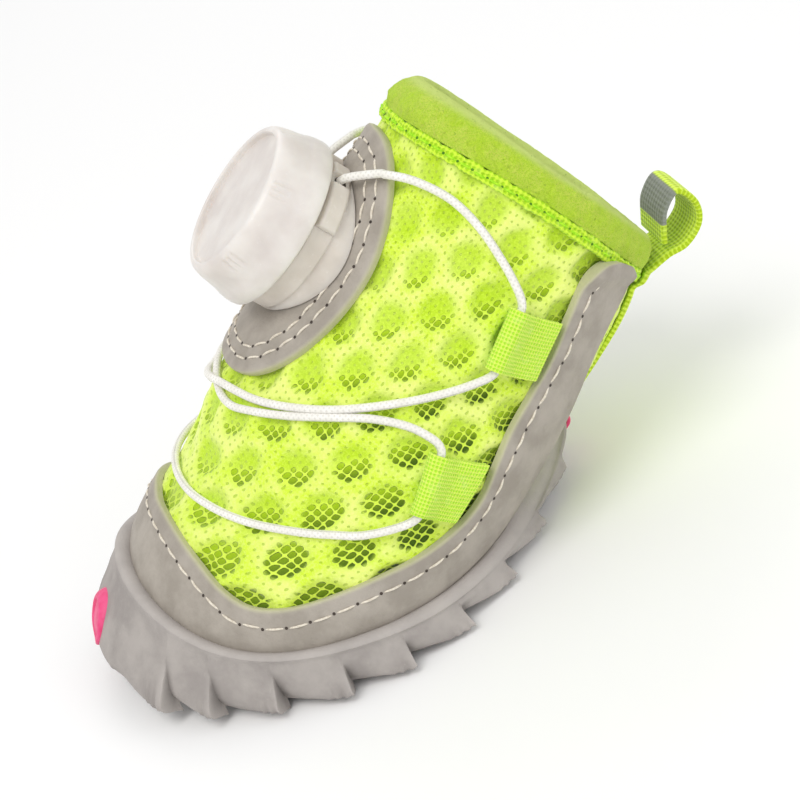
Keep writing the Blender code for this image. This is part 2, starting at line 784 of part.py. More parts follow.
def loop_passage(corners, side):
    """Rows of the lace's route through a loop, along the middle of its fold."""
    along = LOOP_BORE / LOOP_DEPTH
    rows = []
    for across in (-0.06, 0.18, 0.5, 0.82, 1.06):
        turn, level = loop_place(corners, along, across)
        rows.append((side * turn, level, LOOP_SEAT + LOOP_BORE))
    return rows


def make_loop(name, corners, side, material, collection):
    """Folded webbing that holds the lace, its tail against the rand."""
    wall = WEBBING_WALL
    bore = LOOP_BORE
    seat = LOOP_SEAT
    centre = seat + bore
    lid = seat + wall + GAP
    path = [(LOOP_DEPTH, seat), (0.7 * LOOP_DEPTH, seat), (0.4 * LOOP_DEPTH, seat)]
    for degrees in (270, 225, 180, 135, 90, 55):
        angle = math.radians(degrees)
        path.append((bore + bore * math.cos(angle), centre + bore * math.sin(angle)))
    path += [(0.46 * LOOP_DEPTH, lid + 0.3 * wall), (0.7 * LOOP_DEPTH, lid), (LOOP_DEPTH, lid)]

    def place(along, height, across):
        turn, level = loop_place(corners, along / LOOP_DEPTH, across)
        return form(side * turn, level, height)

    bm = bmesh.new()
    ribbon(bm, path, wall, (0.0, 0.33, 0.67, 1.0), place)
    return add_object(name, bm, material, collection)


def make_heel_webbing(material, collection):
    """Webbing up the heel that ends in the pull tab's loop over the collar."""
    low = collar_low(180.0)
    half_wall = BAND_WALL / 2.0
    on_mesh = GAP + half_wall
    over_tape = GAP + TAPE_WALL + on_mesh
    over_collar = COLLAR_THICKNESS * COLLAR_STAND + on_mesh
    tape_low = tape_level(180.0, TAPE_WIDTH)
    band = [(level, on_mesh) for level in BAND_LEVELS]
    band += [(tape_low - BAND_EASE, on_mesh), (tape_low, over_tape), (low, over_collar)]
    points = [form(180.0, level, height) for level, height in band]
    seat = form(180.0, low + TAB_SEAT * (1.0 - low), over_collar)
    points += [seat + Vector((out, 0.0, up)) for out, up in TAB_LOOP]
    shares = (-1.0, -0.5, 0.0, 0.5, 1.0)
    lower = []
    upper = []
    for i, point in enumerate(points):
        run = (points[min(i + 1, len(points) - 1)] - points[max(i - 1, 0)]).normalized()
        side = Vector((-run.z, 0.0, run.x)) * half_wall
        if i < len(band):
            level, height = band[i]
            turns = [heel_turn(level, share * BAND_WIDTH / 2.0) for share in shares]
            lower.append([form(turn, level, height - half_wall) for turn in turns])
            upper.append([form(turn, level, height + half_wall) for turn in turns])
            continue
        across = [Vector((0.0, share * TAB_WIDTH / 2.0, 0.0)) for share in shares]
        lower.append([point + side + step for step in across])
        upper.append([point - side + step for step in across])
    bm = bmesh.new()
    shell(bm, lower, upper, False)
    return add_object("heel_webbing", bm, material, collection)


def heel_turn(level, offset):
    """Turn at the heel where the last lies an offset from the middle, towards +Y."""
    s = section(level)
    half = BALL_WIDTH * s["half_width"] * (1.0 - s["taper"])
    return 180.0 + math.degrees(math.asin(offset / half))


# Insole and badges

def make_insole(material, collection):
    """Thin sheet on the sole's floor, inside the upper."""
    across = 6
    along = 10
    first, last = INSOLE_CORNERS
    near = [first + (last - first) * i / along for i in range(along + 1)]
    heel = [last + (360.0 - 2.0 * last) * j / across for j in range(1, across)]
    far = [360.0 - turn for turn in reversed(near)]
    toe = [-first + 2.0 * first * j / across for j in range(1, across)]
    turns = near + heel + far + toe
    bm = bmesh.new()
    rings = []
    for height in (0.0, INSOLE_WALL):
        ring = []
        for turn in turns:
            point = form(turn, 0.0, -UPPER_WALL - GAP)
            point.z = form_point(turn, 0.0).z - 2.0 * GAP + height
            point.x *= 1.0 - INSOLE_EASE
            point.y *= 1.0 - INSOLE_EASE
            ring.append(bm.verts.new(point))
        patch_grid(bm, ring, across, along)
        rings.append(ring)
    skin(bm, rings, closed_columns=True)
    return add_object("insole", bm, material, collection)


def sole_form(grow, collection):
    """Closed body of the sole's smooth outside, grown by a distance."""
    table = [dict(zip(SOLE_ROW_COLUMNS, values)) for values in SOLE_ROWS]
    turns = [360.0 * j / COLUMNS for j in range(COLUMNS)]
    bm = bmesh.new()
    rows = []
    for k, row in enumerate(table):
        below, above = table[max(k - 1, 0)], table[min(k + 1, len(table) - 1)]
        ring = []
        for turn in turns:
            climb = wall_point(turn, above) - wall_point(turn, below)
            around = wall_point(turn + 1.0, row) - wall_point(turn - 1.0, row)
            normal = around.cross(climb).normalized()
            ring.append(bm.verts.new(wall_point(turn, row) + normal * grow))
        rows.append(ring)
    skin(bm, rows, closed_columns=True)
    for row, height in ((rows[0], -TOE_SPRING), (rows[-1], INSTEP_HEIGHT / 2.0)):
        middle = bm.verts.new((-MIDDLE_X, 0.0, height))
        for j, vert in enumerate(row):
            bm.faces.new((vert, row[(j + 1) % len(row)], middle))
    return as_cutter(add_object("sole_form", bm, None, collection))


def make_badge(name, end, size, material, collection, cutters):
    """Oval badge on the toe or heel, cut between two forms grown from the sole's wall."""
    row = dict(zip(SOLE_ROW_COLUMNS, SOLE_ROWS[BADGE_ROW_INDEX]))
    place = wall_point(90.0 - 90.0 * end, row) + Vector((0.0, 0.0, size["lift"]))
    bm = bmesh.new()
    bmesh.ops.create_cone(bm, cap_ends=True, segments=30, radius1=0.5, radius2=0.5, depth=BADGE_REACH)
    bmesh.ops.scale(bm, vec=(size["height"], size["width"], 1.0), verts=bm.verts)
    upright = Matrix.Rotation(math.radians(90.0), 3, "Y")
    bmesh.ops.rotate(bm, cent=(0.0, 0.0, 0.0), matrix=upright, verts=bm.verts)
    bmesh.ops.translate(bm, vec=place, verts=bm.verts)
    item = add_object(name, bm, material, collection)
    boolean(item, sole_form(GAP + BADGE_WALL, cutters), "INTERSECT")
    boolean(item, sole_form(GAP, cutters), "DIFFERENCE")
    return item


def main():
    clear_scene()
    boot = new_collection("dog_boot")
    cutters = new_collection("cutters")
    rubber = new_material("grey rubber", (0.40, 0.36, 0.34), 0.75)
    leather = new_material("grey synthetic leather", (0.42, 0.38, 0.33), 0.65)
    mesh = new_material("lime mesh", (0.57, 0.89, 0.02), 0.85)
    plush = new_material("green collar plush", (0.35, 0.80, 0.04), 0.95)
    tape = new_material("green tape", (0.12, 0.68, 0.01), 0.80)
    webbing = new_material("green webbing", (0.27, 0.90, 0.03), 0.80)
    band = new_material("yellow-green webbing", (0.70, 0.94, 0.02), 0.80)
    foam = new_material("insole foam", (0.20, 0.20, 0.19), 0.90)
    plastic = new_material("milky plastic", (0.81, 0.77, 0.74), 0.35)
    cord = new_material("white cord", (0.87, 0.87, 0.85), 0.60)
    pink = new_material("pink rubber", (0.81, 0.06, 0.21), 0.50)

    make_outsole(rubber, boot)
    make_upper(mesh, boot)
    make_insole(foam, boot)
    make_rand(leather, boot)
    make_collar(plush, boot)
    make_seam_tape(tape, boot)
    make_patch(leather, boot)
    make_dial(plastic, plastic, boot, cutters)
    make_lace(cord, boot)
    for name, corners in LOOPS.items():
        make_loop(name + "_loop_near", corners, 1, webbing, boot)
        make_loop(name + "_loop_far", corners, -1, webbing, boot)
    make_heel_webbing(band, boot)
    make_badge("toe_badge", 1, TOE_BADGE, pink, boot, cutters)
    make_badge("heel_badge", -1, HEEL_BADGE, pink, boot, cutters)


main()
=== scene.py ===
"""Looks of the dog boot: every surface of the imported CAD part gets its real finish.

The boot's shape is worked out again from the same named sizes and tables as its CAD source, at a
finer step. The toe points along -X, the heel along +X, and +Z is up. A place on the last is a
turn in degrees, 0 at the toe and 180 at the heel, positive on the -Y side, and a level, 0 at the
seat in the sole and 1 at the top of the collar. Lengths are in metres unless a name ends in MM.
"""

import functools
import math
import random

import bmesh
import bpy
from mathutils import Matrix, Vector, noise


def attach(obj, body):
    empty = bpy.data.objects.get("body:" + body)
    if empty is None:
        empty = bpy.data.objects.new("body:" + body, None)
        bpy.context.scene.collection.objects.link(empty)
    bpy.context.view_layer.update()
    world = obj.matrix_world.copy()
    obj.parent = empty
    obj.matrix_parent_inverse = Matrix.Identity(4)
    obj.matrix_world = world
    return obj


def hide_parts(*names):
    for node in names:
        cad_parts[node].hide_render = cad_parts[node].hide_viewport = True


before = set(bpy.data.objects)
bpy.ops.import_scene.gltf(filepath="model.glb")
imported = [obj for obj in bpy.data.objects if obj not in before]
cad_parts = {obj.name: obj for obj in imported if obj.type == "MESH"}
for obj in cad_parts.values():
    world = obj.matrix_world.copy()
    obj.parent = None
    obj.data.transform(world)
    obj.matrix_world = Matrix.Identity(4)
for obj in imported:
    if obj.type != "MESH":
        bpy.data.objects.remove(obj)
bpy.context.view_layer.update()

MM = 1000.0
SHARP_ANGLE = math.radians(50.0)

# Sizes of the last and the sole, as in the CAD source
SOLE_LENGTH = 0.0860
BALL_WIDTH = 0.0700
INSTEP_HEIGHT = 0.0760
HEEL_HEIGHT = 0.0350
TOE_SPRING = 0.0030
HEEL_LIFT = 0.0025
MIDDLE_X = 0.01717
GAP = 0.0003
SEAT_GAP = 0.0004
UPPER_WALL = 0.0022
RAND_WALL = 0.0010
RIM_WALL = 0.0022
CUP_STAND = SEAT_GAP + RAND_WALL + SEAT_GAP
SEAT_WALL = 0.0009
PATCH_WALL = 0.0012
TAPE_WALL = 0.0008
WEBBING_WALL = 0.0006
TOE_ROLL = -0.26
HEEL_ROLL = 0.32
ROLL_LENGTH = 0.14
TREAD_RIDGES = 7
TREAD_END = 0.0200
TOOTH_SHIFTS = (
    (0.0, 0.0), (0.0257, 0.0200), (0.0352, 0.0325), (0.0472, 0.0450), (0.0595, 0.0575),
    (0.0700, 0.0700))
LUG_DEPTH = 0.0022
LUG_RAMP = 0.62
FIN_DEPTH = 0.0030
FIN_REST = 0.4
WAVE_HEIGHT = 0.0052
WAVES_ACROSS = 2
WAVE_EASE = 0.018
RIM_LEVEL = 0.12
TOE_REACH = 0.55
HEEL_REACH = 0.75
COLLAR_FRONT = 0.042
COLLAR_REAR = 0.165
COLLAR_THICKNESS = 0.0048
COLLAR_STAND = 0.30
COLLAR_LEAN = 0.0012
COLLAR_SLUMP = 0.0008
TAPE_WIDTH = 0.0016
CAP_RADIUS = 0.0147
CAP_HEIGHT = 0.0092
NECK_RADIUS = 0.0130
FOOT_REACH = 0.0130
BASE_HEIGHT = 0.0060
DIAL_LEVEL = 0.785
PORT_ANGLE = 27.0
PORT_HEIGHT = 0.0039
PORT_WIDTH = 0.0036
PORT_START = 8.0
PORT_END = 68.0
PORT_STAND = 0.0010
PATCH_LEVEL = 0.768
PATCH_HALF_LEVEL = 0.165
PATCH_HALF_TURN = 42.0
PATCH_ROUNDNESS = 0.7
PATCH_NARROWING = 0.1
LACE_RADIUS = 0.0008
LOOP_DEPTH = 0.0096
LOOP_SEAT = GAP + WEBBING_WALL / 2.0
LOOP_BORE = LACE_RADIUS + GAP + WEBBING_WALL / 2.0
BAND_WALL = 0.0011
BAND_WIDTH = 0.0120
TAB_WIDTH = 0.0105
TAB_SEAT = 0.25
BAND_LEVELS = (0.22, 0.30, 0.39, 0.50, 0.61, 0.70)
BAND_EASE = 0.035
TOE_BADGE = {"height": 0.0082, "width": 0.0100, "lift": -0.0006, "stand": 0.0013}
HEEL_BADGE = {"height": 0.0044, "width": 0.0054, "lift": 0.0002, "stand": 0.0005}
BADGE_ROW = 2

SECTION_COLUMNS = (
    "level", "front_x", "front_z", "rear_x", "rear_z", "half_width", "widest", "front_full",
    "taper", "sag")
SECTIONS = (
    (0.00, -0.385, 0.140, 0.445, 0.250, 0.440, 0.415, 2.20, 0.48, -0.054),
    (0.12, -0.375, 0.245, 0.480, 0.350, 0.472, 0.415, 2.20, 0.50, -0.100),
    (0.26, -0.315, 0.320, 0.553, 0.455, 0.458, 0.430, 2.20, 0.38, -0.068),
    (0.42, -0.203, 0.415, 0.625, 0.575, 0.425, 0.460, 2.15, 0.28, -0.030),
    (0.60, -0.045, 0.585, 0.690, 0.700, 0.372, 0.480, 2.05, 0.15, 0.000),
    (0.80, 0.215, 0.775, 0.745, 0.850, 0.315, 0.500, 2.00, 0.05, 0.018),
    (1.00, 0.490, 1.000, 0.795, 1.000, 0.252, 0.500, 2.00, 0.00, 0.018),
)
SOLE_ROW_COLUMNS = ("share", "toe", "side", "heel", "fin")
SOLE_ROWS = (
    (0.00, 0.0074, -0.0008, -0.0050, 0.00),
    (0.20, 0.0092, 0.0010, -0.0024, 1.00),
    (0.45, 0.0070, 0.0008, -0.0002, 0.60),
    (0.72, 0.0034, 0.0002, 0.0008, 0.00),
    (0.93, 0.0006, -0.0002, 0.0008, 0.00),
)
# Turn and level of the rand's low edge, then of its high edge
RAND_EDGES = (
    (0.0, 0.05, 0.0, 0.318), (10.0, 0.05, 9.0, 0.320), (20.0, 0.05, 20.0, 0.310),
    (31.0, 0.05, 32.0, 0.286), (42.0, 0.05, 43.0, 0.252), (52.0, 0.05, 53.0, 0.230),
    (64.0, 0.05, 64.0, 0.228), (76.0, 0.05, 76.0, 0.240), (88.0, 0.05, 88.0, 0.255),
    (102.0, 0.05, 98.0, 0.272), (118.0, 0.05, 105.0, 0.305), (131.0, 0.08, 108.0, 0.350),
    (136.0, 0.20, 108.0, 0.420), (136.0, 0.34, 109.0, 0.490), (136.0, 0.46, 112.0, 0.560),
    (136.5, 0.58, 114.5, 0.640), (139.0, 0.70, 114.0, 0.745), (142.0, 0.79, 114.5, 0.830),
    (141.0, 0.845, 119.0, 0.872), (135.0, 0.880, 126.0, 0.888))
CORD_RADIUS = 0.00068
LACE_HEIGHT = 0.0008
OVER_RISE = 0.0013
# Turn and level of the lace, and its height over the last where that isn't LACE_HEIGHT. At the
# crossing the third value is the share of OVER_RISE.
LACE_START = (
    (26.0, 0.895, 0.0030), (40.0, 0.905, 0.0022), (56.0, 0.902), (70.0, 0.880), (82.0, 0.842),
    (90.0, 0.802, 0.0017))
LACE_FRONT = (
    (90.0, 0.622, 0.0017), (82.0, 0.609), (70.0, 0.600), (56.0, 0.592), (42.0, 0.588),
    (28.0, 0.585))
LACE_CROSSING = (
    (18.0, 0.584, 0.1), (9.0, 0.581, 0.6), (0.0, 0.573, 1.0), (-9.0, 0.565, 0.6),
    (-18.0, 0.562, 0.1))
LACE_BACK = (
    (-28.0, 0.568), (-42.0, 0.575), (-56.0, 0.580), (-68.0, 0.578), (-79.0, 0.560),
    (-87.0, 0.530, 0.0017))
LACE_END = (
    (-86.5, 0.366, 0.0017), (-78.0, 0.366), (-68.0, 0.380), (-54.0, 0.393), (-40.0, 0.398),
    (-26.0, 0.399), (-13.0, 0.396), (0.0, 0.394))
LOOPS = {
    "upper": ((91.0, 0.770), (93.0, 0.655), (111.5, 0.731), (111.0, 0.600)),
    "lower": ((87.5, 0.507), (88.2, 0.392), (105.0, 0.436), (102.0, 0.324)),
}
TAB_LOOP = (
    (0.0028, 0.0002), (0.0064, 0.0007), (0.0096, 0.0034), (0.0100, 0.0072), (0.0076, 0.0104),
    (0.0046, 0.0080), (0.0034, 0.0046), (0.0029, 0.0026),
)

# The spacer mesh: its large cells stand in staggered rows, its threads in small diamonds. The
# cloth is stretched over the last, so its columns and rows follow a start, their steps along the
# foot and up it, and their twist, for a place in millimetres.
CELL_PITCH_MM = 9.6
CELL_ROW_MM = 8.2
CELL_RADIUS_MM = 3.8
CELL_DEPTH = 0.0009
THREAD_PITCH_MM = 2.05
CLOTH_UP = Vector((0.34, 0.0, 0.94)).normalized()
CLOTH_COLUMN = (1.769, 0.0602, 0.0625, 0.00166)
CLOTH_ROW = (-2.12, -0.0256, 0.1410, 0.0)

# Stitches and cut edges
RAND_INSET = 0.0024
PATCH_INSETS = (0.0026, 0.0048)
RAND_PITCH = 0.0040
PATCH_PITCH = 0.0036
COLLAR_PITCH = 0.0026
THREAD_RADIUS = 0.00020
STITCH_SINK = 0.00012
STITCH_WOBBLE = 0.00020
HOLE_RADIUS = 0.00028
COLLAR_HOLE_RADIUS = 0.00024
HOLE_LIFT = 0.00010
CUT_EDGE = 0.0006

# Steps of the meshes
UPPER_COLUMNS = 336
UPPER_ROWS = 128
PATCH_COLUMNS = 200
COLLAR_COLUMNS = 300
TAPE_COLUMNS = 420
LACE_SIDES = 14
STRIP_COLUMNS = 24
CAP_COLUMNS = 468
BASE_COLUMNS = 240
EDGE_ALONG = 357
EDGE_ACROSS = 88
WALL_ROWS = 26
BADGE_COLUMNS = 72


def four_rows(rows, i):
    """A row of a table with the one before it and the two after it, as far as there are any."""
    return [rows[min(max(k, 0), len(rows) - 1)] for k in range(i - 1, i + 3)]


def curve(four, t):
    """Values on a smooth curve, at a share of the way between the middle two of four rows."""
    return [
        0.5 * (2 * b + (c - a) * t + (2 * a - 5 * b + 4 * c - d) * t * t
               + (3 * b - a - 3 * c + d) * t ** 3)
        for a, b, c, d in zip(*four)]


def smooth_rows(rows, steps):
    """Rows on a smooth curve through the given rows."""
    gaps = range(len(rows) - 1)
    result = [curve(four_rows(rows, i), j / steps) for i in gaps for j in range(steps)]
    return result + [list(rows[-1])]


@functools.lru_cache(maxsize=None)
def section(level):
    """The section at one level, on a smooth curve through the table's rows."""
    low = 0
    while low < len(SECTIONS) - 2 and SECTIONS[low + 1][0] <= level:
        low += 1
    before, start, end, after = four_rows(SECTIONS, low)
    span = end[0] - start[0]
    t = (level - start[0]) / span
    values = {}
    for k, name in enumerate(SECTION_COLUMNS):
        if t > 1.0 or t < 0.0:
            values[name] = start[k] + (end[k] - start[k]) * t
            continue
        slope_in = (end[k] - before[k]) / (end[0] - before[0])
        slope_out = (after[k] - start[k]) / (after[0] - start[0])
        ease = t * t * (3.0 - 2.0 * t)
        bend = t * (1.0 - t) ** 2 * slope_in - t * t * (1.0 - t) * slope_out
        values[name] = start[k] * (1.0 - ease) + end[k] * ease + span * bend
    return values


@functools.lru_cache(maxsize=None)
def form_tuple(turn, level):
    """Coordinates of a point on the last's surface."""
    s = section(level)
    cosine = math.cos(math.radians(turn))
    sine = math.sin(math.radians(turn))
    power = 2.0 / (s["front_full"] if cosine > 0 else 2.0)
    reach = s["widest"] if cosine > 0 else s["widest"] - 1.0
    along = s["widest"] - reach * abs(cosine) ** power
    y = -BALL_WIDTH * s["half_width"] * math.copysign(abs(sine) ** power, sine)
    if cosine < 0:
        y *= 1.0 - s["taper"] * cosine * cosine
    x = SOLE_LENGTH * (s["front_x"] + (s["rear_x"] - s["front_x"]) * along) - MIDDLE_X
    front = INSTEP_HEIGHT * s["front_z"]
    rear = HEEL_HEIGHT * s["rear_z"]
    dip = INSTEP_HEIGHT * s["sag"] * (1.0 - cosine ** 4)
    return x, y, front + (rear - front) * along + dip


def form_point(turn, level):
    return Vector(form_tuple(turn, level))


def form_normal(turn, level):
    """Outward direction at a place on the last."""
    around = form_point(turn + 0.5, level) - form_point(turn - 0.5, level)
    upward = form_point(turn, level + 0.01) - form_point(turn, level - 0.01)
    return around.cross(upward).normalized()


def form(turn, level, height=0.0):
    """Point at a height over the last."""
    point = form_point(turn, level)
    if height:
        point += form_normal(turn, level) * height
    return point


def collar_low(turn):
    """Level of the collar's lower seam."""
    rearward = (1.0 - math.cos(math.radians(turn))) / 2.0
    return 1.0 - COLLAR_FRONT - (COLLAR_REAR - COLLAR_FRONT) * rearward ** 4


def level_length(turn, level):
    """Length on the last of one whole level, at a place."""
    step = 0.01
    return (form_point(turn, level) - form_point(turn, level - step)).length / step


def upper_top(turn):
    """Level of the upper's top edge, just under the collar."""
    low = collar_low(turn)
    return low - GAP / level_length(turn, low)


def tape_level(turn, width):
    """Level of the upper's top edge less a width on the last."""
    top = upper_top(turn)
    return top - width / level_length(turn, top)


def ease(low, high, value):
    """Smooth step from 0 at low to 1 at high."""
    t = min(max((value - low) / (high - low), 0.0), 1.0)
    return t * t * (3.0 - 2.0 * t)


# Materials

def linear(colour):
    """Scene colour from one given as it looks on a screen."""
    return tuple(c / 12.92 if c <= 0.04045 else ((c + 0.055) / 1.055) ** 2.4 for c in colour)


def rgba(value):
    """Scene colour with alpha from a tuple as it looks on a screen; an output stays itself."""
    return (*linear(value), 1.0) if isinstance(value, tuple) else value


class Paint:
    """A material under construction, with short names for the nodes it uses."""

    def __init__(self, name, roughness, specular=0.4):
        self.material = bpy.data.materials.new(name)
        self.material.use_nodes = True
        self.tree = self.material.node_tree
        self.shader = self.tree.nodes["Principled BSDF"]
        self.set("Roughness", roughness)
        self.set("Specular IOR Level", specular)
        self.height = None

    def set(self, socket, value):
        self.shader.inputs[socket].default_value = value

    def node(self, kind, **settings):
        item = self.tree.nodes.new(kind)
        for name, value in settings.items():
            setattr(item, name, value)
        return item

    def link(self, value, socket):
        """Feeds a socket from a number, a colour or another node's output."""
        if isinstance(value, (int, float, tuple)):
            socket.default_value = value
        else:
            self.tree.links.new(value, socket)

    def math(self, operation, a, b=0.0, c=0.0):
        item = self.node("ShaderNodeMath", operation=operation)
        for socket, value in zip(item.inputs, (a, b, c)):
            self.link(value, socket)
        return item.outputs[0]

    def times(self, a, b):
        return self.math("MULTIPLY", a, b)

    def uv(self):
        """The two cloth coordinates, in millimetres."""
        item = self.node("ShaderNodeSeparateXYZ")
        self.link(self.node("ShaderNodeUVMap", uv_map="cloth").outputs[0], item.inputs[0])
        return item.outputs[0], item.outputs[1]

    def noise(self, scale, detail=3.0, roughness=0.5):
        """Noise over the place on the object in millimetres."""
        place = self.node("ShaderNodeVectorMath", operation="SCALE")
        self.link(self.node("ShaderNodeTexCoord").outputs["Object"], place.inputs[0])
        place.inputs["Scale"].default_value = MM
        item = self.node("ShaderNodeTexNoise")
        self.link(place.outputs[0], item.inputs["Vector"])
        for name, value in (("Scale", scale), ("Detail", detail), ("Roughness", roughness)):
            item.inputs[name].default_value = value
        return item.outputs["Fac"]

    def attribute(self, name):
        return self.node("ShaderNodeAttribute", attribute_name=name).outputs["Fac"]

    def step(self, value, low, high):
        """Smooth step of a value between two limits, which may be outputs too."""
        item = self.node("ShaderNodeMapRange", interpolation_type="SMOOTHSTEP")
        self.link(value, item.inputs["Value"])
        self.link(low, item.inputs["From Min"])
        self.link(high, item.inputs["From Max"])
        return item.outputs[0]

    def spots(self, scale, low, high, detail=3.0, roughness=0.5):
        """Blotches where a noise is high."""
        return self.step(self.noise(scale, detail, roughness), low, high)

    def mix(self, factor, first, second):
        item = self.node("ShaderNodeMix", data_type="RGBA")
        self.link(factor, item.inputs["Factor"])
        self.link(rgba(first), item.inputs["A"])
        self.link(rgba(second), item.inputs["B"])
        return item.outputs["Result"]

    def over(self, colour, value, share, tone):
        """A colour with a share of a tone laid over it where a value is high."""
        return self.mix(self.times(value, share), colour, tone)

    def colour(self, value):
        self.link(rgba(value), self.shader.inputs["Base Color"])

    def bump(self, height, depth):
        """Relief of a depth in metres, on top of the relief so far."""
        item = self.node("ShaderNodeBump")
        item.inputs["Distance"].default_value = depth
        item.inputs["Strength"].default_value = 1.0
        self.link(height, item.inputs["Height"])
        if self.height:
            self.link(self.height, item.inputs["Normal"])
        self.height = item.outputs[0]
        self.link(self.height, self.shader.inputs["Normal"])

    def grain(self, first, second, scale, depth, bump_scale):
        """Mottled colour with a fine relief."""
        self.colour(self.mix(self.spots(scale, 0.35, 0.68), first, second))
        self.bump(self.noise(bump_scale, 4.0, 0.6), depth)
        return self.material


def mesh_cloth():
    """Lime spacer mesh: diamond threads, wide open in its cells and pinholed between them."""
    paint = Paint("lime_mesh", 0.75, 0.25)
    wander = paint.math("MULTIPLY_ADD", paint.noise(0.25, 2.0), 1.6, -0.8)
    across, up = (
        paint.math("DIVIDE", paint.math("ADD", place, wander), THREAD_PITCH_MM)
        for place in paint.uv())
    open_ = paint.times(*(
        paint.math("ABSOLUTE", paint.math(
            "SINE", paint.times(paint.math(sign, across, up), math.pi)))
        for sign in ("ADD", "SUBTRACT")))
    cell = paint.attribute("cell")
    # dark holds how much painted shade shows through the holes of a cell.
    dark = paint.attribute("dark")
    wide = paint.times(paint.step(cell, 0.25, 0.75), paint.step(dark, 0.02, 0.30))
    limit = paint.math("MULTIPLY_ADD", wide, -0.60, 0.80)
    hole = paint.step(open_, limit, paint.math("ADD", limit, 0.16))
    fibre = paint.spots(2.6, 0.42, 0.66, 3.0, 0.7)
    between = paint.mix(paint.spots(0.17, 0.36, 0.62), (0.83, 0.95, 0.22), (0.92, 0.98, 0.50))
    between = paint.over(between, fibre, 0.35, (0.96, 1.00, 0.64))
    # Painted shade: the sunk cells are coloured a darker green than the cloth between them.
    cell_shade = paint.mix(fibre, (0.70, 0.85, 0.03), (0.78, 0.92, 0.12))
    strand = paint.over(paint.over(between, cell, 0.75, cell_shade), wide, 0.7, (0.88, 0.98, 0.34))
    # Bottom of the holes: painted shade, deeper where dark is high.
    bottom = paint.mix(paint.step(dark, 0.10, 0.90), (0.68, 0.82, 0.04), (0.25, 0.36, 0.00))
    # Pinholes between the cells: painted shade in small holes.
    pinhole = paint.mix(0.6, between, (0.62, 0.76, 0.06))
    paint.colour(paint.mix(hole, strand, paint.mix(wide, pinhole, bottom)))
    depth = paint.times(hole, paint.math("MULTIPLY_ADD", wide, 0.75, 0.25))
    paint.bump(paint.math("MULTIPLY_ADD", depth, -1.0, 1.0), 0.00035)
    paint.bump(paint.noise(2.2), 0.00014)
    paint.set("Sheen Weight", 0.25)
    paint.set("Sheen Roughness", 0.5)
    return paint.material


def plush_cloth():
    """Brushed knit of the collar."""
    paint = Paint("green_plush", 0.95, 0.1)
    fibre = paint.noise(4.5, 5.0, 0.75)
    base = paint.mix(paint.spots(0.30, 0.35, 0.65), (0.86, 1.00, 0.26), (0.93, 1.00, 0.42))
    base = paint.mix(paint.step(fibre, 0.40, 0.60), (0.76, 0.94, 0.12), base)
    # Painted light: where top is high, over the roll's top and down its inner face, the colour is
    # made paler as if lit.
    base = paint.over(base, paint.attribute("top"), 0.8, (0.93, 1.00, 0.60))
    paint.colour(paint.over(base, paint.spots(1.7, 0.66, 0.72, 2.0, 0.6), 0.55, (0.50, 0.72, 0.04)))
    paint.bump(fibre, 0.00050)
    paint.bump(paint.noise(1.2, 2.0), 0.00045)
    paint.set("Sheen Weight", 0.6)
    paint.set("Sheen Roughness", 0.6)
    paint.set("Sheen Tint", rgba((0.92, 1.0, 0.6)))
    return paint.material


def webbing(name, light, dark, rib_mm, pick_mm, stripe=None):
    """Ribbed webbing: ribs along its length, crossed by picks, with a grey stripe if asked."""
    paint = Paint(name, 0.7, 0.25)
    u, v = paint.uv()
    rib = paint.math("SINE", paint.times(u, math.tau / rib_mm))
    lean = paint.times(paint.math("ABSOLUTE", rib), 0.8)
    pick = paint.math("SINE", paint.math("ADD", paint.times(v, math.tau / pick_mm), lean))
    relief = paint.math("MULTIPLY_ADD", paint.math("ADD", rib, pick), 0.25, 0.5)
    # Colour follows the relief: painted shade in the grooves between ribs and picks, painted
    # highlight on their crests.
    colour = paint.mix(paint.step(relief, 0.15, 0.75), dark, light)
    colour = paint.over(colour, paint.spots(0.5, 0.55, 0.75), 0.25, (0.90, 1.0, 0.62))
    if stripe:
        low, high, grey = stripe
        inside = paint.times(
            paint.step(v, low - 0.15, low + 0.15), paint.step(v, high + 0.15, high - 0.15))
        fleck = paint.mix(paint.noise(9.0, 2.0), grey, (0.62, 0.64, 0.60))
        colour = paint.mix(inside, colour, fleck)
    paint.colour(colour)
    paint.bump(relief, 0.00022)
    paint.bump(paint.noise(6.0), 0.00006)
    paint.set("Sheen Weight", 0.15)
    return paint.material


def leather():
    """Smooth grey synthetic leather with faint creases and paler worn spots."""
    paint = Paint("grey_leather", 0.62, 0.35)
    mottle = paint.spots(0.16, 0.32, 0.70, 4.0, 0.6)
    colour = paint.mix(mottle, (0.615, 0.585, 0.545), (0.695, 0.665, 0.625))
    colour = paint.over(colour, paint.spots(3.2, 0.66, 0.78, 2.0), 0.3, (0.52, 0.49, 0.46))
    paint.colour(paint.over(colour, paint.attribute("edge"), 0.55, (0.80, 0.80, 0.62)))
    paint.bump(paint.noise(1.5, 4.0, 0.6), 0.00010)
    paint.bump(paint.noise(7.0, 2.0), 0.00003)
    return paint.material


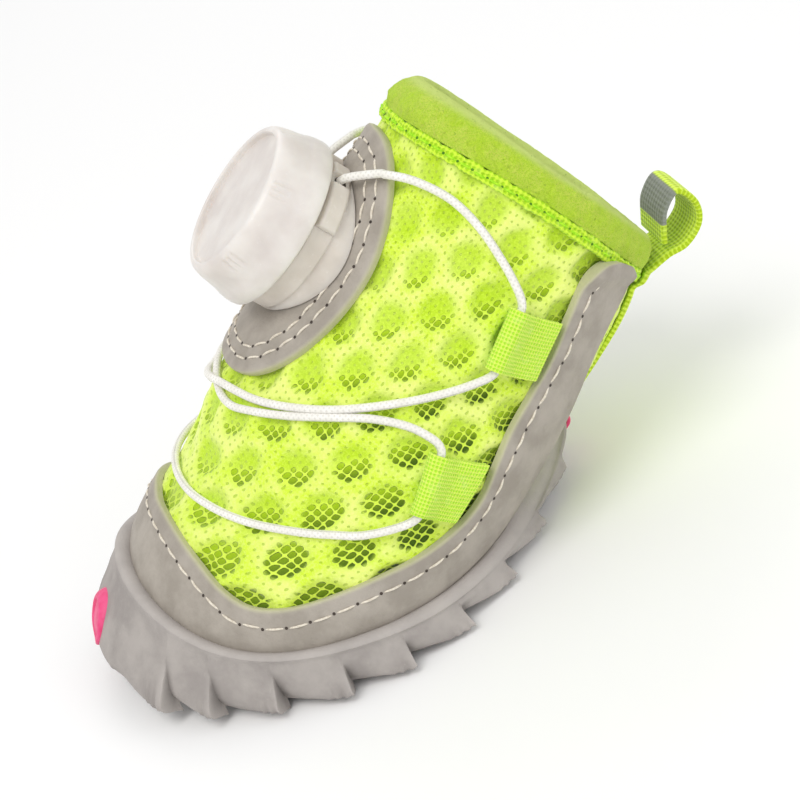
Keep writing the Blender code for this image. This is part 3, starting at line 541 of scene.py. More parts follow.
def rubber():
    """Matte moulded rubber, with painted highlight on its raised edges and painted shade in its
    grooves.
    """
    paint = Paint("grey_rubber", 0.66, 0.35)
    mottle = paint.spots(0.12, 0.3, 0.7, 4.0, 0.6)
    colour = paint.mix(mottle, (0.600, 0.575, 0.560), (0.690, 0.665, 0.645))
    # Painted highlight where raised is high: fin crests, tread crests and the rim.
    colour = paint.over(colour, paint.attribute("raised"), 0.55, (0.78, 0.755, 0.735))
    # Painted shade in the grooves at the foot of each fin's and tread wave's step.
    colour = paint.over(colour, paint.attribute("groove"), 0.6, (0.42, 0.40, 0.385))
    scuff = paint.spots(1.1, 0.62, 0.72, 5.0, 0.7)
    paint.colour(paint.over(colour, scuff, 0.25, (0.76, 0.74, 0.72)))
    u, v = paint.uv()
    lean = paint.times(paint.math("MULTIPLY_ADD", v, 0.7, u), math.tau / 1.1)
    cut = paint.times(paint.step(paint.math("SINE", lean), 0.1, 0.9), paint.attribute("nick"))
    paint.bump(cut, -0.00035)
    paint.bump(paint.noise(2.2, 4.0, 0.6), 0.00007)
    paint.bump(paint.noise(9.0, 2.0), 0.00003)
    return paint.material


def milky_plastic(name, low, high):
    """Milky translucent plastic of the dial."""
    paint = Paint(name, 0.34, 0.5)
    colour = paint.mix(paint.spots(0.14, 0.3, 0.7), low, high)
    streak = paint.spots(0.9, 0.60, 0.72, 4.0, 0.7)
    paint.colour(paint.over(colour, streak, 0.2, (0.97, 0.96, 0.95)))
    paint.set("Subsurface Weight", 0.35)
    paint.set("Subsurface Radius", (0.004, 0.0035, 0.003))
    paint.set("Subsurface Scale", 1.0)
    paint.bump(paint.noise(0.7), 0.00006)
    paint.bump(paint.noise(6.0, 2.0), 0.00002)
    return paint.material


def braid():
    """Braided white cord."""
    paint = Paint("white_braid", 0.55, 0.35)
    u, v = paint.uv()
    around, along = paint.times(u, math.tau * 4.0), paint.times(v, math.tau / 0.9)
    one, two = (paint.math("SINE", paint.math(sign, around, along)) for sign in ("ADD", "SUBTRACT"))
    relief = paint.math("MULTIPLY_ADD", paint.math("MAXIMUM", one, two), 0.5, 0.5)
    high = paint.mix(paint.spots(0.5, 0.4, 0.7), (0.94, 0.93, 0.90), (0.98, 0.97, 0.95))
    # Colour follows the relief: painted shade in the braid's grooves.
    paint.colour(paint.mix(paint.step(relief, 0.2, 0.8), (0.89, 0.88, 0.85), high))
    paint.bump(relief, 0.00004)
    paint.set("Sheen Weight", 0.2)
    return paint.material


def thread(name, light, dark):
    """Twisted sewing thread."""
    return Paint(name, 0.55, 0.3).grain(light, dark, 2.5, 0.00006, 9.0)


# Meshes

def circle(count):
    """Cosine and sine of each step around a circle."""
    return [(math.cos(math.tau * k / count), math.sin(math.tau * k / count)) for k in range(count)]


def run_lengths(points):
    """Length of a line up to each of its points."""
    lengths = [0.0]
    for a, b in zip(points, points[1:]):
        lengths.append(lengths[-1] + (b - a).length)
    return lengths


class Builder:
    """A bmesh that keeps a cloth coordinate and named values with each vertex."""

    def __init__(self, *values):
        self.bm = bmesh.new()
        self.cloth = {}
        self.values = {name: self.bm.verts.layers.float.new(name) for name in values}

    def vert(self, point, uv=(0.0, 0.0), **values):
        item = self.bm.verts.new(point)
        self.cloth[item] = uv
        for name, value in values.items():
            item[self.values[name]] = value
        return item

    def ring(self, matrix, radius, height, count):
        """Ring of vertices around the z axis of a frame."""
        points = [Vector((radius * c, radius * s, height)) for c, s in circle(count)]
        return [self.vert(matrix @ point) for point in points]

    def tube(self, centre, side, other, radius, count):
        """Ring of vertices around a centre, in the plane of two directions."""
        return [self.vert(centre + (side * c + other * s) * radius) for c, s in circle(count)]

    def skin(self, rows, closed_rows=False, closed_columns=False, material=0):
        """Faces of a grid of vertices."""
        for i in range(len(rows) if closed_rows else len(rows) - 1):
            low, high = rows[i], rows[(i + 1) % len(rows)]
            for j in range(len(low) if closed_columns else len(low) - 1):
                k = (j + 1) % len(low)
                face = self.bm.faces.new((low[j], low[k], high[k], high[j]))
                face.material_index = material

    def close(self, low, high, closed):
        """Walls between the edges of two grids of vertices, closed around if asked."""
        self.skin([low[0], high[0]], closed_columns=closed)
        self.skin([low[-1], high[-1]], closed_columns=closed)
        if not closed:
            self.skin([[row[0] for row in low], [row[0] for row in high]])
            self.skin([[row[-1] for row in low], [row[-1] for row in high]])

    def slab(self, lower, upper):
        """Both faces and all four walls of a sheet."""
        self.skin(lower)
        self.skin(upper)
        self.close(lower, upper, False)

    def fan(self, middle, row):
        """Faces between a middle vertex and the closed row around it."""
        for k in range(len(row)):
            self.bm.faces.new((middle, row[k], row[(k + 1) % len(row)]))

    def pipe(self, rows):
        """Skin around closed rows, with a flat face at both ends."""
        self.skin(rows, closed_columns=True)
        self.bm.faces.new(rows[0])
        self.bm.faces.new(rows[-1])

    def finish(self, name, materials, replaces=(), declare=None):
        """Finished piece: on the boot's one body and the node it stands for."""
        bm = self.bm
        layer = bm.loops.layers.uv.new("cloth")
        for face in bm.faces:
            for loop in face.loops:
                loop[layer].uv = self.cloth[loop.vert]
        bmesh.ops.recalc_face_normals(bm, faces=bm.faces)
        if bm.calc_volume(signed=True) < 0:
            bmesh.ops.reverse_faces(bm, faces=bm.faces)
        mesh = bpy.data.meshes.new(name)
        bm.to_mesh(mesh)
        bm.free()
        for material in materials:
            mesh.materials.append(material)
        mesh.shade_smooth()
        mesh.set_sharp_from_angle(angle=SHARP_ANGLE)
        item = bpy.data.objects.new(name, mesh)
        bpy.context.scene.collection.objects.link(item)
        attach(item, "root")
        if replaces:
            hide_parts(*replaces)
        if declare:
            declare(item)


# Upper

def cell_at(column, row):
    """How far into a mesh cell a cloth place is, from 0 outside to 1, its height over the cell's
    middle, and the cell's own row and column."""
    near = []
    for r in (round(row) - 1, round(row), round(row) + 1):
        shift = 0.5 * (r % 2)
        c = round(column - shift)
        across = (column - shift - c) * CELL_PITCH_MM
        up = (row - r) * CELL_ROW_MM
        near.append((math.hypot(across, up), up, r, c))
    distance, up, r, c = min(near)
    distance *= 1.0 + 0.22 * noise.noise(Vector((column * 2.3, row * 2.3, 9.0)))
    depth = 1.0 - ease(0.55 * CELL_RADIUS_MM, 1.15 * CELL_RADIUS_MM, distance)
    return depth, up / CELL_RADIUS_MM, r, c


def cloth_place(along, up):
    """Column and row of the cloth at a place, in millimetres along the foot and up it."""
    return [
        start + to_along * along + to_up * up + twist * along * up
        for start, to_along, to_up, twist in (CLOTH_COLUMN, CLOTH_ROW)]


def turn_gap(turn):
    """Turns from the toe, on either side."""
    return min(turn, 360.0 - turn)


def cloth_lengths(points):
    """Length along the cloth from the middle of each side to each point, below 0 to the front."""
    count = len(points)
    side = count // 4
    lengths = [0.0] * count
    for start, step in ((side, -1), (side, 1), (3 * side, 1), (3 * side, -1)):
        j = start
        total = 0.0
        to_front = (step < 0) == (start == side)
        for _ in range(side):
            k = (j + step) % count
            move = points[k] - points[j]
            total += (move - CLOTH_UP * move.dot(CLOTH_UP)).length
            lengths[k] = -total if to_front else total
            j = k
    return lengths


def cell_hole_shade(turn, level, drop, r, c):
    """Painted shade in a cell's holes at a place: darker low down, at the sides and in its own lower
    part.
    """
    chance = 0.5 + 0.5 * noise.noise(Vector((r * 3.1, c * 5.7, 0.0)))
    low = 0.95 - 1.45 * level + 0.55 * (min(turn_gap(turn), 130.0) / 90.0 - 0.6)
    low += 0.35 * (chance - 0.5) - drop * (0.15 + 0.5 * ease(0.30, 0.55, level))
    return min(1.0, max(0.0, low))


def make_upper(cloth, lining):
    """Mesh shell with a sunk cell at each place of the pattern, and its lining."""
    turns = [360.0 * j / UPPER_COLUMNS for j in range(UPPER_COLUMNS)]
    tops = [upper_top(turn) for turn in turns]
    build = Builder("cell", "dark")
    outer = []
    inner = []
    for i in range(UPPER_ROWS + 1):
        levels = [top * i / UPPER_ROWS for top in tops]
        points = [form_point(turn, level) for turn, level in zip(turns, levels)]
        edge = min(1.0, (UPPER_ROWS - i) / 5.0)
        outer.append([])
        inner.append([])
        for turn, level, point, across in zip(turns, levels, points, cloth_lengths(points)):
            normal = form_normal(turn, level)
            column, row = cloth_place(across * MM, point.dot(CLOTH_UP) * MM)
            cell, drop, r, c = cell_at(column, row)
            calm = ease(0.10, 0.32, math.hypot(turn_gap(turn) / 90.0, 1.6 * (level - PATCH_LEVEL)))
            height = -CELL_DEPTH * cell * edge * (0.3 + 0.7 * calm)
            height += 0.00012 * noise.noise(point * 500.0) + 0.00006 * noise.noise(point * 1500.0)
            # Painted shade for the cell's holes, less of it near the patch.
            dark = cell_hole_shade(turn, level, drop, r, c) * calm
            place = (column * CELL_PITCH_MM, row * CELL_ROW_MM)
            outer[-1].append(build.vert(point + normal * height, place, cell=cell, dark=dark))
            inner[-1].append(build.vert(point - normal * UPPER_WALL, place))
    build.skin(outer, closed_columns=True)
    build.skin(inner, closed_columns=True, material=1)
    build.close(inner, outer, True)
    build.finish("upper_mesh", [cloth, lining], replaces=("upper",))


# Rand and patch

def rounded(distance, radius):
    """Share of a sheet's thickness at a distance from its rounded edge."""
    t = min(distance / radius, 1.0)
    return math.sqrt(max(0.0, 1.0 - (1.0 - t) ** 2))


def rand_rows(steps):
    """Rows of the rand, from the top of the far strip around the toe to that of the near strip."""
    half = smooth_rows(RAND_EDGES, steps)
    return [[-a, b, -c, d] for a, b, c, d in reversed(half[1:])] + half


def rand_place(row, share):
    low_turn, low_level, high_turn, high_level = row
    return low_turn + (high_turn - low_turn) * share, low_level + (high_level - low_level) * share


def rand_width(row):
    return (form_point(*rand_place(row, 1.0)) - form_point(*rand_place(row, 0.0))).length


def make_rand(material):
    """Grey sheet on the last with rounded edges, their cut faces of another shade."""
    build = Builder("edge")
    shares = [0.0, 0.01, 0.025, 0.05] + [0.09 + 0.82 * j / 12 for j in range(13)]
    shares += [0.95, 0.972, 0.988, 0.996, 1.0]
    rows = rand_rows(9)
    lower = [
        [build.vert(form(*rand_place(row, share)), edge=1.0) for share in shares] for row in rows]
    upper = []
    for i, row in enumerate(rows):
        ends = min(i, len(rows) - 1 - i) * 0.0005
        width = rand_width(row)
        line = []
        for share in shares:
            turn, level = rand_place(row, share)
            distance = min(share * width, (1.0 - share) * width, ends)
            height = SEAT_GAP + RAND_WALL * (0.55 + 0.45 * rounded(distance, 0.4 * RAND_WALL))
            height += ease(0.80, 0.85, level) * (GAP + TAPE_WALL)
            edge = 1.0 - ease(0.0, CUT_EDGE, distance)
            line.append(build.vert(form(turn, level, height), edge=edge))
        upper.append(line)
    build.slab(lower, upper)
    build.finish("rand_leather", [material], replaces=("rand",))


def patch_place(angle, share):
    """Turn and level on the patch, from its middle, 0, to its outline, 1."""
    climb = -math.cos(angle)
    narrow = 1.0 - PATCH_NARROWING * max(0.0, climb) ** 2
    side = math.copysign(abs(math.sin(angle)) ** PATCH_ROUNDNESS, math.sin(angle))
    return PATCH_HALF_TURN * side * narrow * share, PATCH_LEVEL + PATCH_HALF_LEVEL * climb * share


def patch_radius(angle):
    """Length on the last from the patch's middle to its outline."""
    points = [form_point(*patch_place(angle, k / 8.0)) for k in range(9)]
    return sum((b - a).length for a, b in zip(points, points[1:]))


patch_angles = [math.tau * k / PATCH_COLUMNS for k in range(PATCH_COLUMNS)]
patch_radii = [patch_radius(angle) for angle in patch_angles]


def make_patch(material):
    """Leaf-shaped patch under the dial."""
    shares = (0.08, 0.2, 0.32, 0.44, 0.55, 0.65, 0.74, 0.82, 0.88, 0.93, 0.96, 0.98, 0.992, 1.0)
    build = Builder("edge")
    layers = []
    for upper in (False, True):
        rows = []
        for share in shares:
            row = []
            for angle, radius in zip(patch_angles, patch_radii):
                distance = (1.0 - share) * radius
                height = 0.0
                if upper:
                    full = 0.45 + 0.55 * rounded(distance, 0.4 * PATCH_WALL)
                    height = SEAT_GAP + PATCH_WALL * full
                edge = 1.0 - ease(0.0, CUT_EDGE, distance)
                row.append(build.vert(form(*patch_place(angle, share), height), edge=edge))
            rows.append(row)
        top = SEAT_GAP + PATCH_WALL if upper else 0.0
        build.fan(build.vert(form(0.0, PATCH_LEVEL, top)), rows[0])
        build.skin(rows, closed_columns=True)
        layers.append(rows[-1])
    build.skin(layers, closed_columns=True)
    build.finish("patch_leather", [material], replaces=("instep_patch",))


# Stitches

def walk(places, height, step):
    """Points and normals at equal steps along a line of turns and levels on the last."""
    points = [form(turn, level, height) for turn, level in places]
    normals = [form_normal(turn, level) for turn, level in places]
    lengths = run_lengths(points)
    count = max(1, int(lengths[-1] / step))
    result = []
    i = 0
    for k in range(count + 1):
        want = lengths[-1] * k / count
        while i < len(lengths) - 2 and lengths[i + 1] < want:
            i += 1
        t = (want - lengths[i]) / max(lengths[i + 1] - lengths[i], 1e-9)
        normal = normals[i].lerp(normals[i + 1], t).normalized()
        result.append((points[i].lerp(points[i + 1], t), normal))
    return result


def bead(build, start, end, normal, rings=7):
    """One stitch: a thread that dips into the cloth at both ends."""
    along = end - start
    side = along.cross(normal).normalized()
    rows = []
    for r in range(rings + 1):
        t = r / rings
        arch = math.sin(math.pi * t)
        lift = THREAD_RADIUS * 0.9 * arch - STITCH_SINK * (1.0 - arch)
        girth = THREAD_RADIUS * (0.55 + 0.45 * math.sqrt(arch))
        rows.append(build.tube(start + along * t + normal * lift, side, normal, girth, 8))
    build.pipe(rows)


def disc(build, centre, normal, radius):
    """Needle hole, as a small dark lens on the surface: painted shade in the hole."""
    side = normal.orthogonal().normalized()
    top, bottom = (build.vert(centre + normal * lift) for lift in (HOLE_LIFT, -HOLE_LIFT))
    ring = build.tube(centre, side, normal.cross(side), radius, 8)
    build.fan(top, ring)
    build.fan(bottom, ring[::-1])


def sew(name, lines, height, pitch, threads, hole=HOLE_RADIUS):
    """Rows of stitches with their needle holes, as two pieces."""
    stitches = Builder()
    holes = Builder()
    chance = random.Random(len(name) * 7 + len(lines))
    for places in lines:
        steps = walk(places, height, pitch)
        for (a, normal_a), (b, normal_b) in zip(steps, steps[1:]):
            along = b - a
            wobble = normal_a.cross(along).normalized()
            wobble *= chance.uniform(-STITCH_WOBBLE, STITCH_WOBBLE)
            start, end = a + along * 0.10 + wobble, b - along * 0.10 + wobble
            bead(stitches, start, end, (normal_a + normal_b).normalized())
        for point, normal in steps:
            disc(holes, point + normal * 0.00002, normal, hole)
    stitches.finish(name + "_stitches", [threads[0]])
    holes.finish(name + "_needle_holes", [threads[1]])


def rand_line(inset):
    """Line at an inset from the rand's high edge.

    It turns in at the top of both strips, and at the near one comes back out for its last place.
    """
    rows = rand_rows(12)
    tops = [form_point(*rand_place(row, 1.0)) for row in rows]
    kept = []
    for row, top in zip(rows, tops):
        ends = min((top - end).length for end in (tops[0], tops[-1]))
        if rand_width(row) > 2.2 * inset and ends > inset:
            kept.append((row, 1.0 - inset / rand_width(row)))
    kept[:0] = [(kept[0][0], 0.35)]
    kept[-1:-1] = [(kept[-1][0], 0.35)]
    return [rand_place(row, share) for row, share in kept]


def patch_line(inset):
    """Line at an inset from the patch's outline."""
    line = [
        patch_place(angle, 1.0 - inset / radius) for angle, radius in zip(patch_angles, patch_radii)]
    return line + line[:1]


# Collar and tape

def make_collar(material):
    """Padded roll with a brushed face."""
    profile = (
        (0.00, 0.20), (0.30, COLLAR_STAND), (0.72, 0.26), (1.04, 0.02), (1.13, -0.30),
        (0.98, -0.58), (0.50, -0.70), (0.00, -0.58))
    build = Builder("top")
    rows = []
    for share, stand in smooth_rows(profile + profile[:1], 6)[:-1]:
        row = []
        # top marks painted light: the roll's top and its inner face are made paler, as if lit.
        top = max(ease(0.80, 1.05, share), ease(0.0, 0.3, -stand))
        for j in range(COLLAR_COLUMNS):
            turn = 360.0 * j / COLLAR_COLUMNS
            low = collar_low(turn)
            point = form(turn, low + (1.0 - low) * share, COLLAR_THICKNESS * stand)
            fuzz = noise.noise(point * 700.0) * 0.00022 + noise.noise(point * 2600.0) * 0.00012
            puff = noise.noise(point * 130.0) * 0.00035
            lean = COLLAR_LEAN * math.sin(math.radians(turn)) - COLLAR_SLUMP
            slump = Vector((0.0, 0.0, lean * ease(0.2, 0.95, share)))
            point += form_normal(turn, 0.97) * (fuzz + puff) + slump
            row.append(build.vert(point, top=top))
        rows.append(row)
    build.skin(rows, closed_rows=True, closed_columns=True)
    build.finish(
        "collar_plush", [material], replaces=("collar",),
        declare=lambda item: item)


def make_tape(material):
    """Ridged tape on the seam under the collar."""
    profile = (
        (1.3, 0.0), (1.25, 0.7), (0.9, 1.0), (0.55, 0.75), (0.2, 1.0), (-0.15, 0.8), (-0.2, 0.0))
    build = Builder()
    rows = []
    for share, stand in profile:
        row = []
        for j in range(TAPE_COLUMNS):
            turn = 360.0 * j / TAPE_COLUMNS
            ridge = 1.0 + 0.18 * math.sin(turn * 2.1 * (1 if share > 0.5 else -1))
            wave = 0.22 * noise.noise(Vector((turn * 0.35, share * 0.8, 4.0)))
            level = tape_level(turn, (share * 0.92 + wave) * TAPE_WIDTH)
            point = form(turn, level, GAP + TAPE_WALL * stand * ridge)
            row.append(build.vert(point, (share * TAPE_WIDTH * MM, turn * 0.35)))
        rows.append(row)
    build.skin(rows, closed_rows=True, closed_columns=True)
    build.finish("seam_tape_weave", [material], replaces=("seam_tape",))


# Lace and webbing

def dial_matrix():
    """Frame of the dial: x up the instep, y across, z out of the instep."""
    axis = form_normal(0.0, DIAL_LEVEL)
    across = Vector((0.0, 1.0, 0.0))
    turn = Matrix((across.cross(axis), across, axis)).transposed().to_4x4()
    return Matrix.Translation(form_point(0.0, DIAL_LEVEL)) @ turn


def port_matrix(side):
    """Frame of a lace port: z runs out of the dial's base towards the lace."""
    heading = math.radians(PORT_ANGLE) * side
    turn = Matrix.Rotation(heading, 4, "Z") @ Matrix.Rotation(math.radians(90.0), 4, "Y")
    return dial_matrix() @ Matrix.Translation((0.0, 0.0, PORT_HEIGHT)) @ turn


def loop_place(corners, along, across):
    """Turn and level inside a loop's four corners, from fold to tail and from high to low edge."""
    fold_high, fold_low, tail_high, tail_low = corners
    return [
        (a * (1.0 - across) + b * across) * (1.0 - along)
        + (c * (1.0 - across) + d * across) * along
        for a, b, c, d in zip(fold_high, fold_low, tail_high, tail_low)]


def loop_passage(corners, side):
    """Rows of the lace's route through a loop, along the middle of its fold."""
    rows = []
    for across in (-0.06, 0.18, 0.5, 0.82, 1.06):
        turn, level = loop_place(corners, LOOP_BORE / LOOP_DEPTH, across)
        rows.append((side * turn, level, LOOP_SEAT + LOOP_BORE))
    return rows


def lace_points():
    """Whole route of the lace, from its port on one side to its port on the other."""
    def port_points(side):
        port = port_matrix(side)
        return [port @ Vector((0.0, 0.0, NECK_RADIUS * share)) for share in (0.90, 1.10)]

    def side_points(side, rise):
        crossing = [
            (turn, level, LACE_HEIGHT + rise * share) for turn, level, share in LACE_CROSSING]
        rows = [
            *LACE_START, *loop_passage(LOOPS["upper"], 1), *LACE_FRONT, *crossing,
            *LACE_BACK, *loop_passage(LOOPS["lower"], -1), *LACE_END]
        rows = [(*row, LACE_HEIGHT)[:3] for row in rows]
        return [form(side * turn, level, height) for turn, level, height in smooth_rows(rows, 4)]

    first = side_points(1, OVER_RISE)
    second = side_points(-1, 0.0)
    return port_points(-1) + first + second[-2::-1] + port_points(1)[::-1]


def smooth_points(points, steps):
    return [Vector(row) for row in smooth_rows([tuple(point) for point in points], steps)]


def heading(path, i):
    """Direction of a path at one of its points."""
    return (path[min(i + 1, len(path) - 1)] - path[max(i - 1, 0)]).normalized()


def make_lace(material):
    """Braided lace on its smooth route."""
    path = smooth_points(lace_points(), 3)
    build = Builder()
    rows = []
    normal = Vector((0.0, 0.0, 1.0))
    for i, (point, length) in enumerate(zip(path, run_lengths(path))):
        run = heading(path, i)
        normal = (normal - run * normal.dot(run)).normalized()
        rows.append(build.tube(point, normal, run.cross(normal), CORD_RADIUS, LACE_SIDES))
        for k, vert in enumerate(rows[-1]):
            build.cloth[vert] = (k / LACE_SIDES, length * MM)
    build.pipe(rows)
    build.finish("lace_braid", [material], replaces=("lace",))


def make_strip(name, count, first, place, material, node):
    """Woven strip: place gives the point and cloth place of a row, a share across and a face."""
    build = Builder()
    faces = {first: [], -first: []}
    for i in range(count):
        for sign, rows in faces.items():
            line = [place(i, k / STRIP_COLUMNS, sign) for k in range(STRIP_COLUMNS + 1)]
            rows.append([build.vert(point, uv) for point, uv in line])
    build.slab(*faces.values())
    build.finish(name, [material], replaces=(node,))


def make_loop(name, corners, side, material, node):
    """Folded webbing loop with woven edges."""
    centre = LOOP_SEAT + LOOP_BORE
    lid = LOOP_SEAT + WEBBING_WALL + GAP
    path = [(LOOP_DEPTH * share, LOOP_SEAT) for share in (1.0, 0.7, 0.4)]
    for degrees in (270, 225, 180, 135, 90, 55):
        angle = math.radians(degrees)
        path.append((LOOP_BORE + LOOP_BORE * math.cos(angle), centre + LOOP_BORE * math.sin(angle)))
    path += [
        (0.46 * LOOP_DEPTH, lid + 0.3 * WEBBING_WALL), (0.7 * LOOP_DEPTH, lid), (LOOP_DEPTH, lid)]
    path = smooth_points(path, 5)
    lengths = run_lengths(path)
    width = (form_point(*corners[0]) - form_point(*corners[1])).length * MM

    def place(i, share, sign):
        run = heading(path, i)
        offset = Vector((-run.y, run.x)) * WEBBING_WALL / 2.0
        turn, level = loop_place(corners, (path[i].x + sign * offset.x) / LOOP_DEPTH, share)
        edge = 0.6 + 0.4 * rounded(min(share, 1.0 - share) * width, 0.5)
        point = form(side * turn, level, path[i].y + sign * offset.y * edge)
        return point, (share * width, lengths[i] * MM)

    make_strip(name, len(path), -1.0, place, material, node)


def heel_turn(level, offset):
    """Turn at the heel where the last lies an offset from the middle, towards +Y."""
    s = section(level)
    half = BALL_WIDTH * s["half_width"] * (1.0 - s["taper"])
    return 180.0 + math.degrees(math.asin(offset / half))


def make_heel_webbing(material):
    """Webbing up the heel, and the pull tab's loop."""
    low = collar_low(180.0)
    half_wall = BAND_WALL / 2.0
    on_mesh = GAP + half_wall
    over_tape = GAP + TAPE_WALL + on_mesh
    over_collar = COLLAR_THICKNESS * COLLAR_STAND + on_mesh
    tape_low = tape_level(180.0, TAPE_WIDTH)
    band = [(level, on_mesh) for level in (*BAND_LEVELS, tape_low - BAND_EASE)]
    band += [(tape_low, over_tape), (low, over_collar)]
    points = [form(180.0, level, height) for level, height in band]
    seat = form(180.0, low + TAB_SEAT * (1.0 - low), over_collar)
    points += [seat + Vector((out, 0.0, up)) for out, up in TAB_LOOP]
    path = smooth_points(points, 8)
    levels = smooth_rows(band, 8)
    lengths = run_lengths(path)

    def place(i, share, sign):
        across = 2.0 * share - 1.0
        on_last = 1.0 - ease(len(levels) - 4, len(levels) + 6, i)
        width = TAB_WIDTH + (BAND_WIDTH - TAB_WIDTH) * on_last
        edge = 0.55 + 0.45 * rounded((1.0 - abs(across)) * width / 2.0 * MM, 0.6)
        run = heading(path, i)
        side = Vector((-run.z, 0.0, run.x)) * half_wall
        point = path[i] + Vector((0.0, across * width / 2.0, 0.0)) + side * sign * edge
        if on_last > 0.0:
            level, height = levels[min(i, len(levels) - 1)]
            turn = heel_turn(level, across * width / 2.0)
            point = point.lerp(form(turn, level, height - sign * half_wall * edge), on_last)
        return point, (across * width / 2.0 * MM, lengths[i] * MM)

    make_strip(
        "heel_webbing_weave", len(path), 1.0, place, material,
        "heel_webbing")


# Dial

def make_cap(material):
    """Knob of the dial, flared to its foot, with grips on its shoulder and a recessed face."""
    foot = BASE_HEIGHT + GAP
    head = foot + CAP_HEIGHT
    face = head - 0.0010
    corners = (
        (0.30, face), (0.64, face), (0.770, face), (0.792, head - 0.0009), (0.798, head - 0.0002),
        (0.815, head), (0.850, head - 0.0001), (0.885, head - 0.0006), (0.912, head - 0.0016),
        (0.935, head - 0.0032), (0.958, head - 0.0050), (0.985, foot + 0.0030),
        (1.0, foot + 0.0018),
        (1.003, foot + 0.0008), (0.993, foot + 0.0002), (0.96, foot))
    matrix = dial_matrix()
    build = Builder()
    rows = []
    outline = [(CAP_RADIUS * share, height) for share, height in corners]
    for radius, height in smooth_rows(outline, 4):
        inside = ease(head - 0.0040, head - 0.0028, height)
        inside *= 1.0 - ease(head - 0.0012, head - 0.0006, height)
        row = []
        for k in range(CAP_COLUMNS):
            angle = math.tau * k / CAP_COLUMNS
            group = ease(0.72, 0.80, math.cos(6.0 * angle))
            r = radius - 0.00030 * inside * group * (0.5 + 0.5 * math.cos(78.0 * angle))
            spot = Vector((r * math.cos(angle), r * math.sin(angle), height))
            row.append(build.vert(matrix @ spot))
        rows.append(row)
    build.skin(rows, closed_columns=True)
    for height, row in ((face, rows[0]), (foot, rows[-1])):
        build.fan(build.vert(matrix @ Vector((0.0, 0.0, height))), row)
    build.finish("dial_knob", [material], replaces=("dial_cap",))


def make_base(material, dark):
    """Foot of the dial, standing on the patch, with a raised frame around each lace port."""
    matrix = dial_matrix()
    inverse = matrix.inverted()
    top = BASE_HEIGHT
    shares = (
        (0.60, top), (0.955, top), (0.985, top - 0.0002), (0.995, top - 0.0008),
        (0.995, top - 0.0034), (0.990, top - 0.0037), (0.965, top - 0.0039), (0.965, top - 0.0042))
    build = Builder()
    outline = smooth_rows([(NECK_RADIUS * share, height) for share, height in shares], 3)
    rows = [build.ring(matrix, radius, height, BASE_COLUMNS) for radius, height in outline]
    seat = SEAT_GAP + PATCH_WALL + GAP
    feet = [land(FOOT_REACH * c, FOOT_REACH * s, seat, inverse) for c, s in circle(BASE_COLUMNS)]
    starts = [inverse @ vert.co for vert in rows[-1]]
    for step in (0.35, 0.7, 0.93, 1.0):
        bulge = 1.0 + 0.012 * math.sin(math.pi * step)
        points = [start.lerp(foot, step) for start, foot in zip(starts, feet)]
        rows.append([build.vert(matrix @ Vector((p.x * bulge, p.y * bulge, p.z))) for p in points])
    build.skin(rows, closed_columns=True)
    build.fan(build.vert(matrix @ Vector((0.0, 0.0, top))), rows[0])
    build.fan(build.vert(form(0.0, DIAL_LEVEL, seat)), rows[-1])
    build.finish("dial_foot", [material], replaces=("dial_base",))
    ports = Builder()
    eyes = Builder()
    for side in (-1, 1):
        make_port(ports, eyes, side)
    ports.finish("lace_port_blocks", [material])
    eyes.finish("lace_port_eyes", [dark])


def make_port(ports, eyes, side):
    """Raised block around the dial's neck, notched where the lace comes out of its eye."""
    matrix = dial_matrix()
    columns, rows = 96, 20
    low, high = PORT_HEIGHT - PORT_WIDTH / 2.0, PORT_HEIGHT + PORT_WIDTH / 2.0
    outer = []
    inner = []
    for i in range(rows + 1):
        height = low + (high - low) * i / rows
        outer.append([])
        inner.append([])
        for j in range(columns + 1):
            degrees = PORT_START + (PORT_END - PORT_START) * j / columns
            angle = side * math.radians(degrees)
            along = NECK_RADIUS * math.radians(min(degrees - PORT_START, PORT_END - degrees))
            edge = rounded(along, 0.0007) * rounded(min(height - low, high - height), 0.0007)
            notch = NECK_RADIUS * math.radians(abs(degrees - PORT_ANGLE))
            stand = PORT_STAND * edge * (0.05 + 0.95 * ease(0.0008, 0.0013, notch))
            for line, radius in (
                    (outer, NECK_RADIUS * 0.995 + stand), (inner, NECK_RADIUS - 0.0010)):
                spot = Vector((radius * math.cos(angle), radius * math.sin(angle), height))
                line[-1].append(ports.vert(matrix @ spot))
    ports.skin(outer)
    ports.skin(inner)
    ports.close(inner, outer, False)
    # The eye is a dark ring of painted shade where the lace goes into the neck.
    eyes.pipe([
        eyes.ring(port_matrix(side), radius, NECK_RADIUS + depth, 24)
        for depth, radius in ((-0.0004, 0.00105), (0.00012, 0.00105), (0.00012, 0.0006))])


def land(x, y, seat, inverse):
    """Place in the dial's frame where a line along its axis meets the patch's top."""
    turn, level = 0.0, DIAL_LEVEL
    for _ in range(14):
        here = inverse @ form(turn, level, seat)
        to_turn = (inverse @ form(turn + 1.0, level, seat)) - here
        to_level = (inverse @ form(turn, level + 0.01, seat)) - here
        gap = Vector((x - here.x, y - here.y))
        det = to_turn.x * to_level.y - to_turn.y * to_level.x
        a = (gap.x * to_level.y - gap.y * to_level.x) / det
        b = (to_turn.x * gap.y - to_turn.y * gap.x) / det
        turn += max(-12.0, min(12.0, a)) * 0.8
        level += max(-0.06, min(0.06, b * 0.01)) * 0.8
    return Vector((x, y, here.z))


# Sole

def edge_phase(length, total):
    """Ridge phase at a length along the sole's edge, 0 at a ramp's low end and 1 at its step."""
    pitch = (total - 2.0 * TREAD_END) / TREAD_RIDGES
    for (start, at), (end, to) in zip(TOOTH_SHIFTS, TOOTH_SHIFTS[1:]):
        if start <= length < end:
            length = at + (to - at) * (length - start) / (end - start)
            break
    return ((length - TREAD_END) / pitch) % 1.0


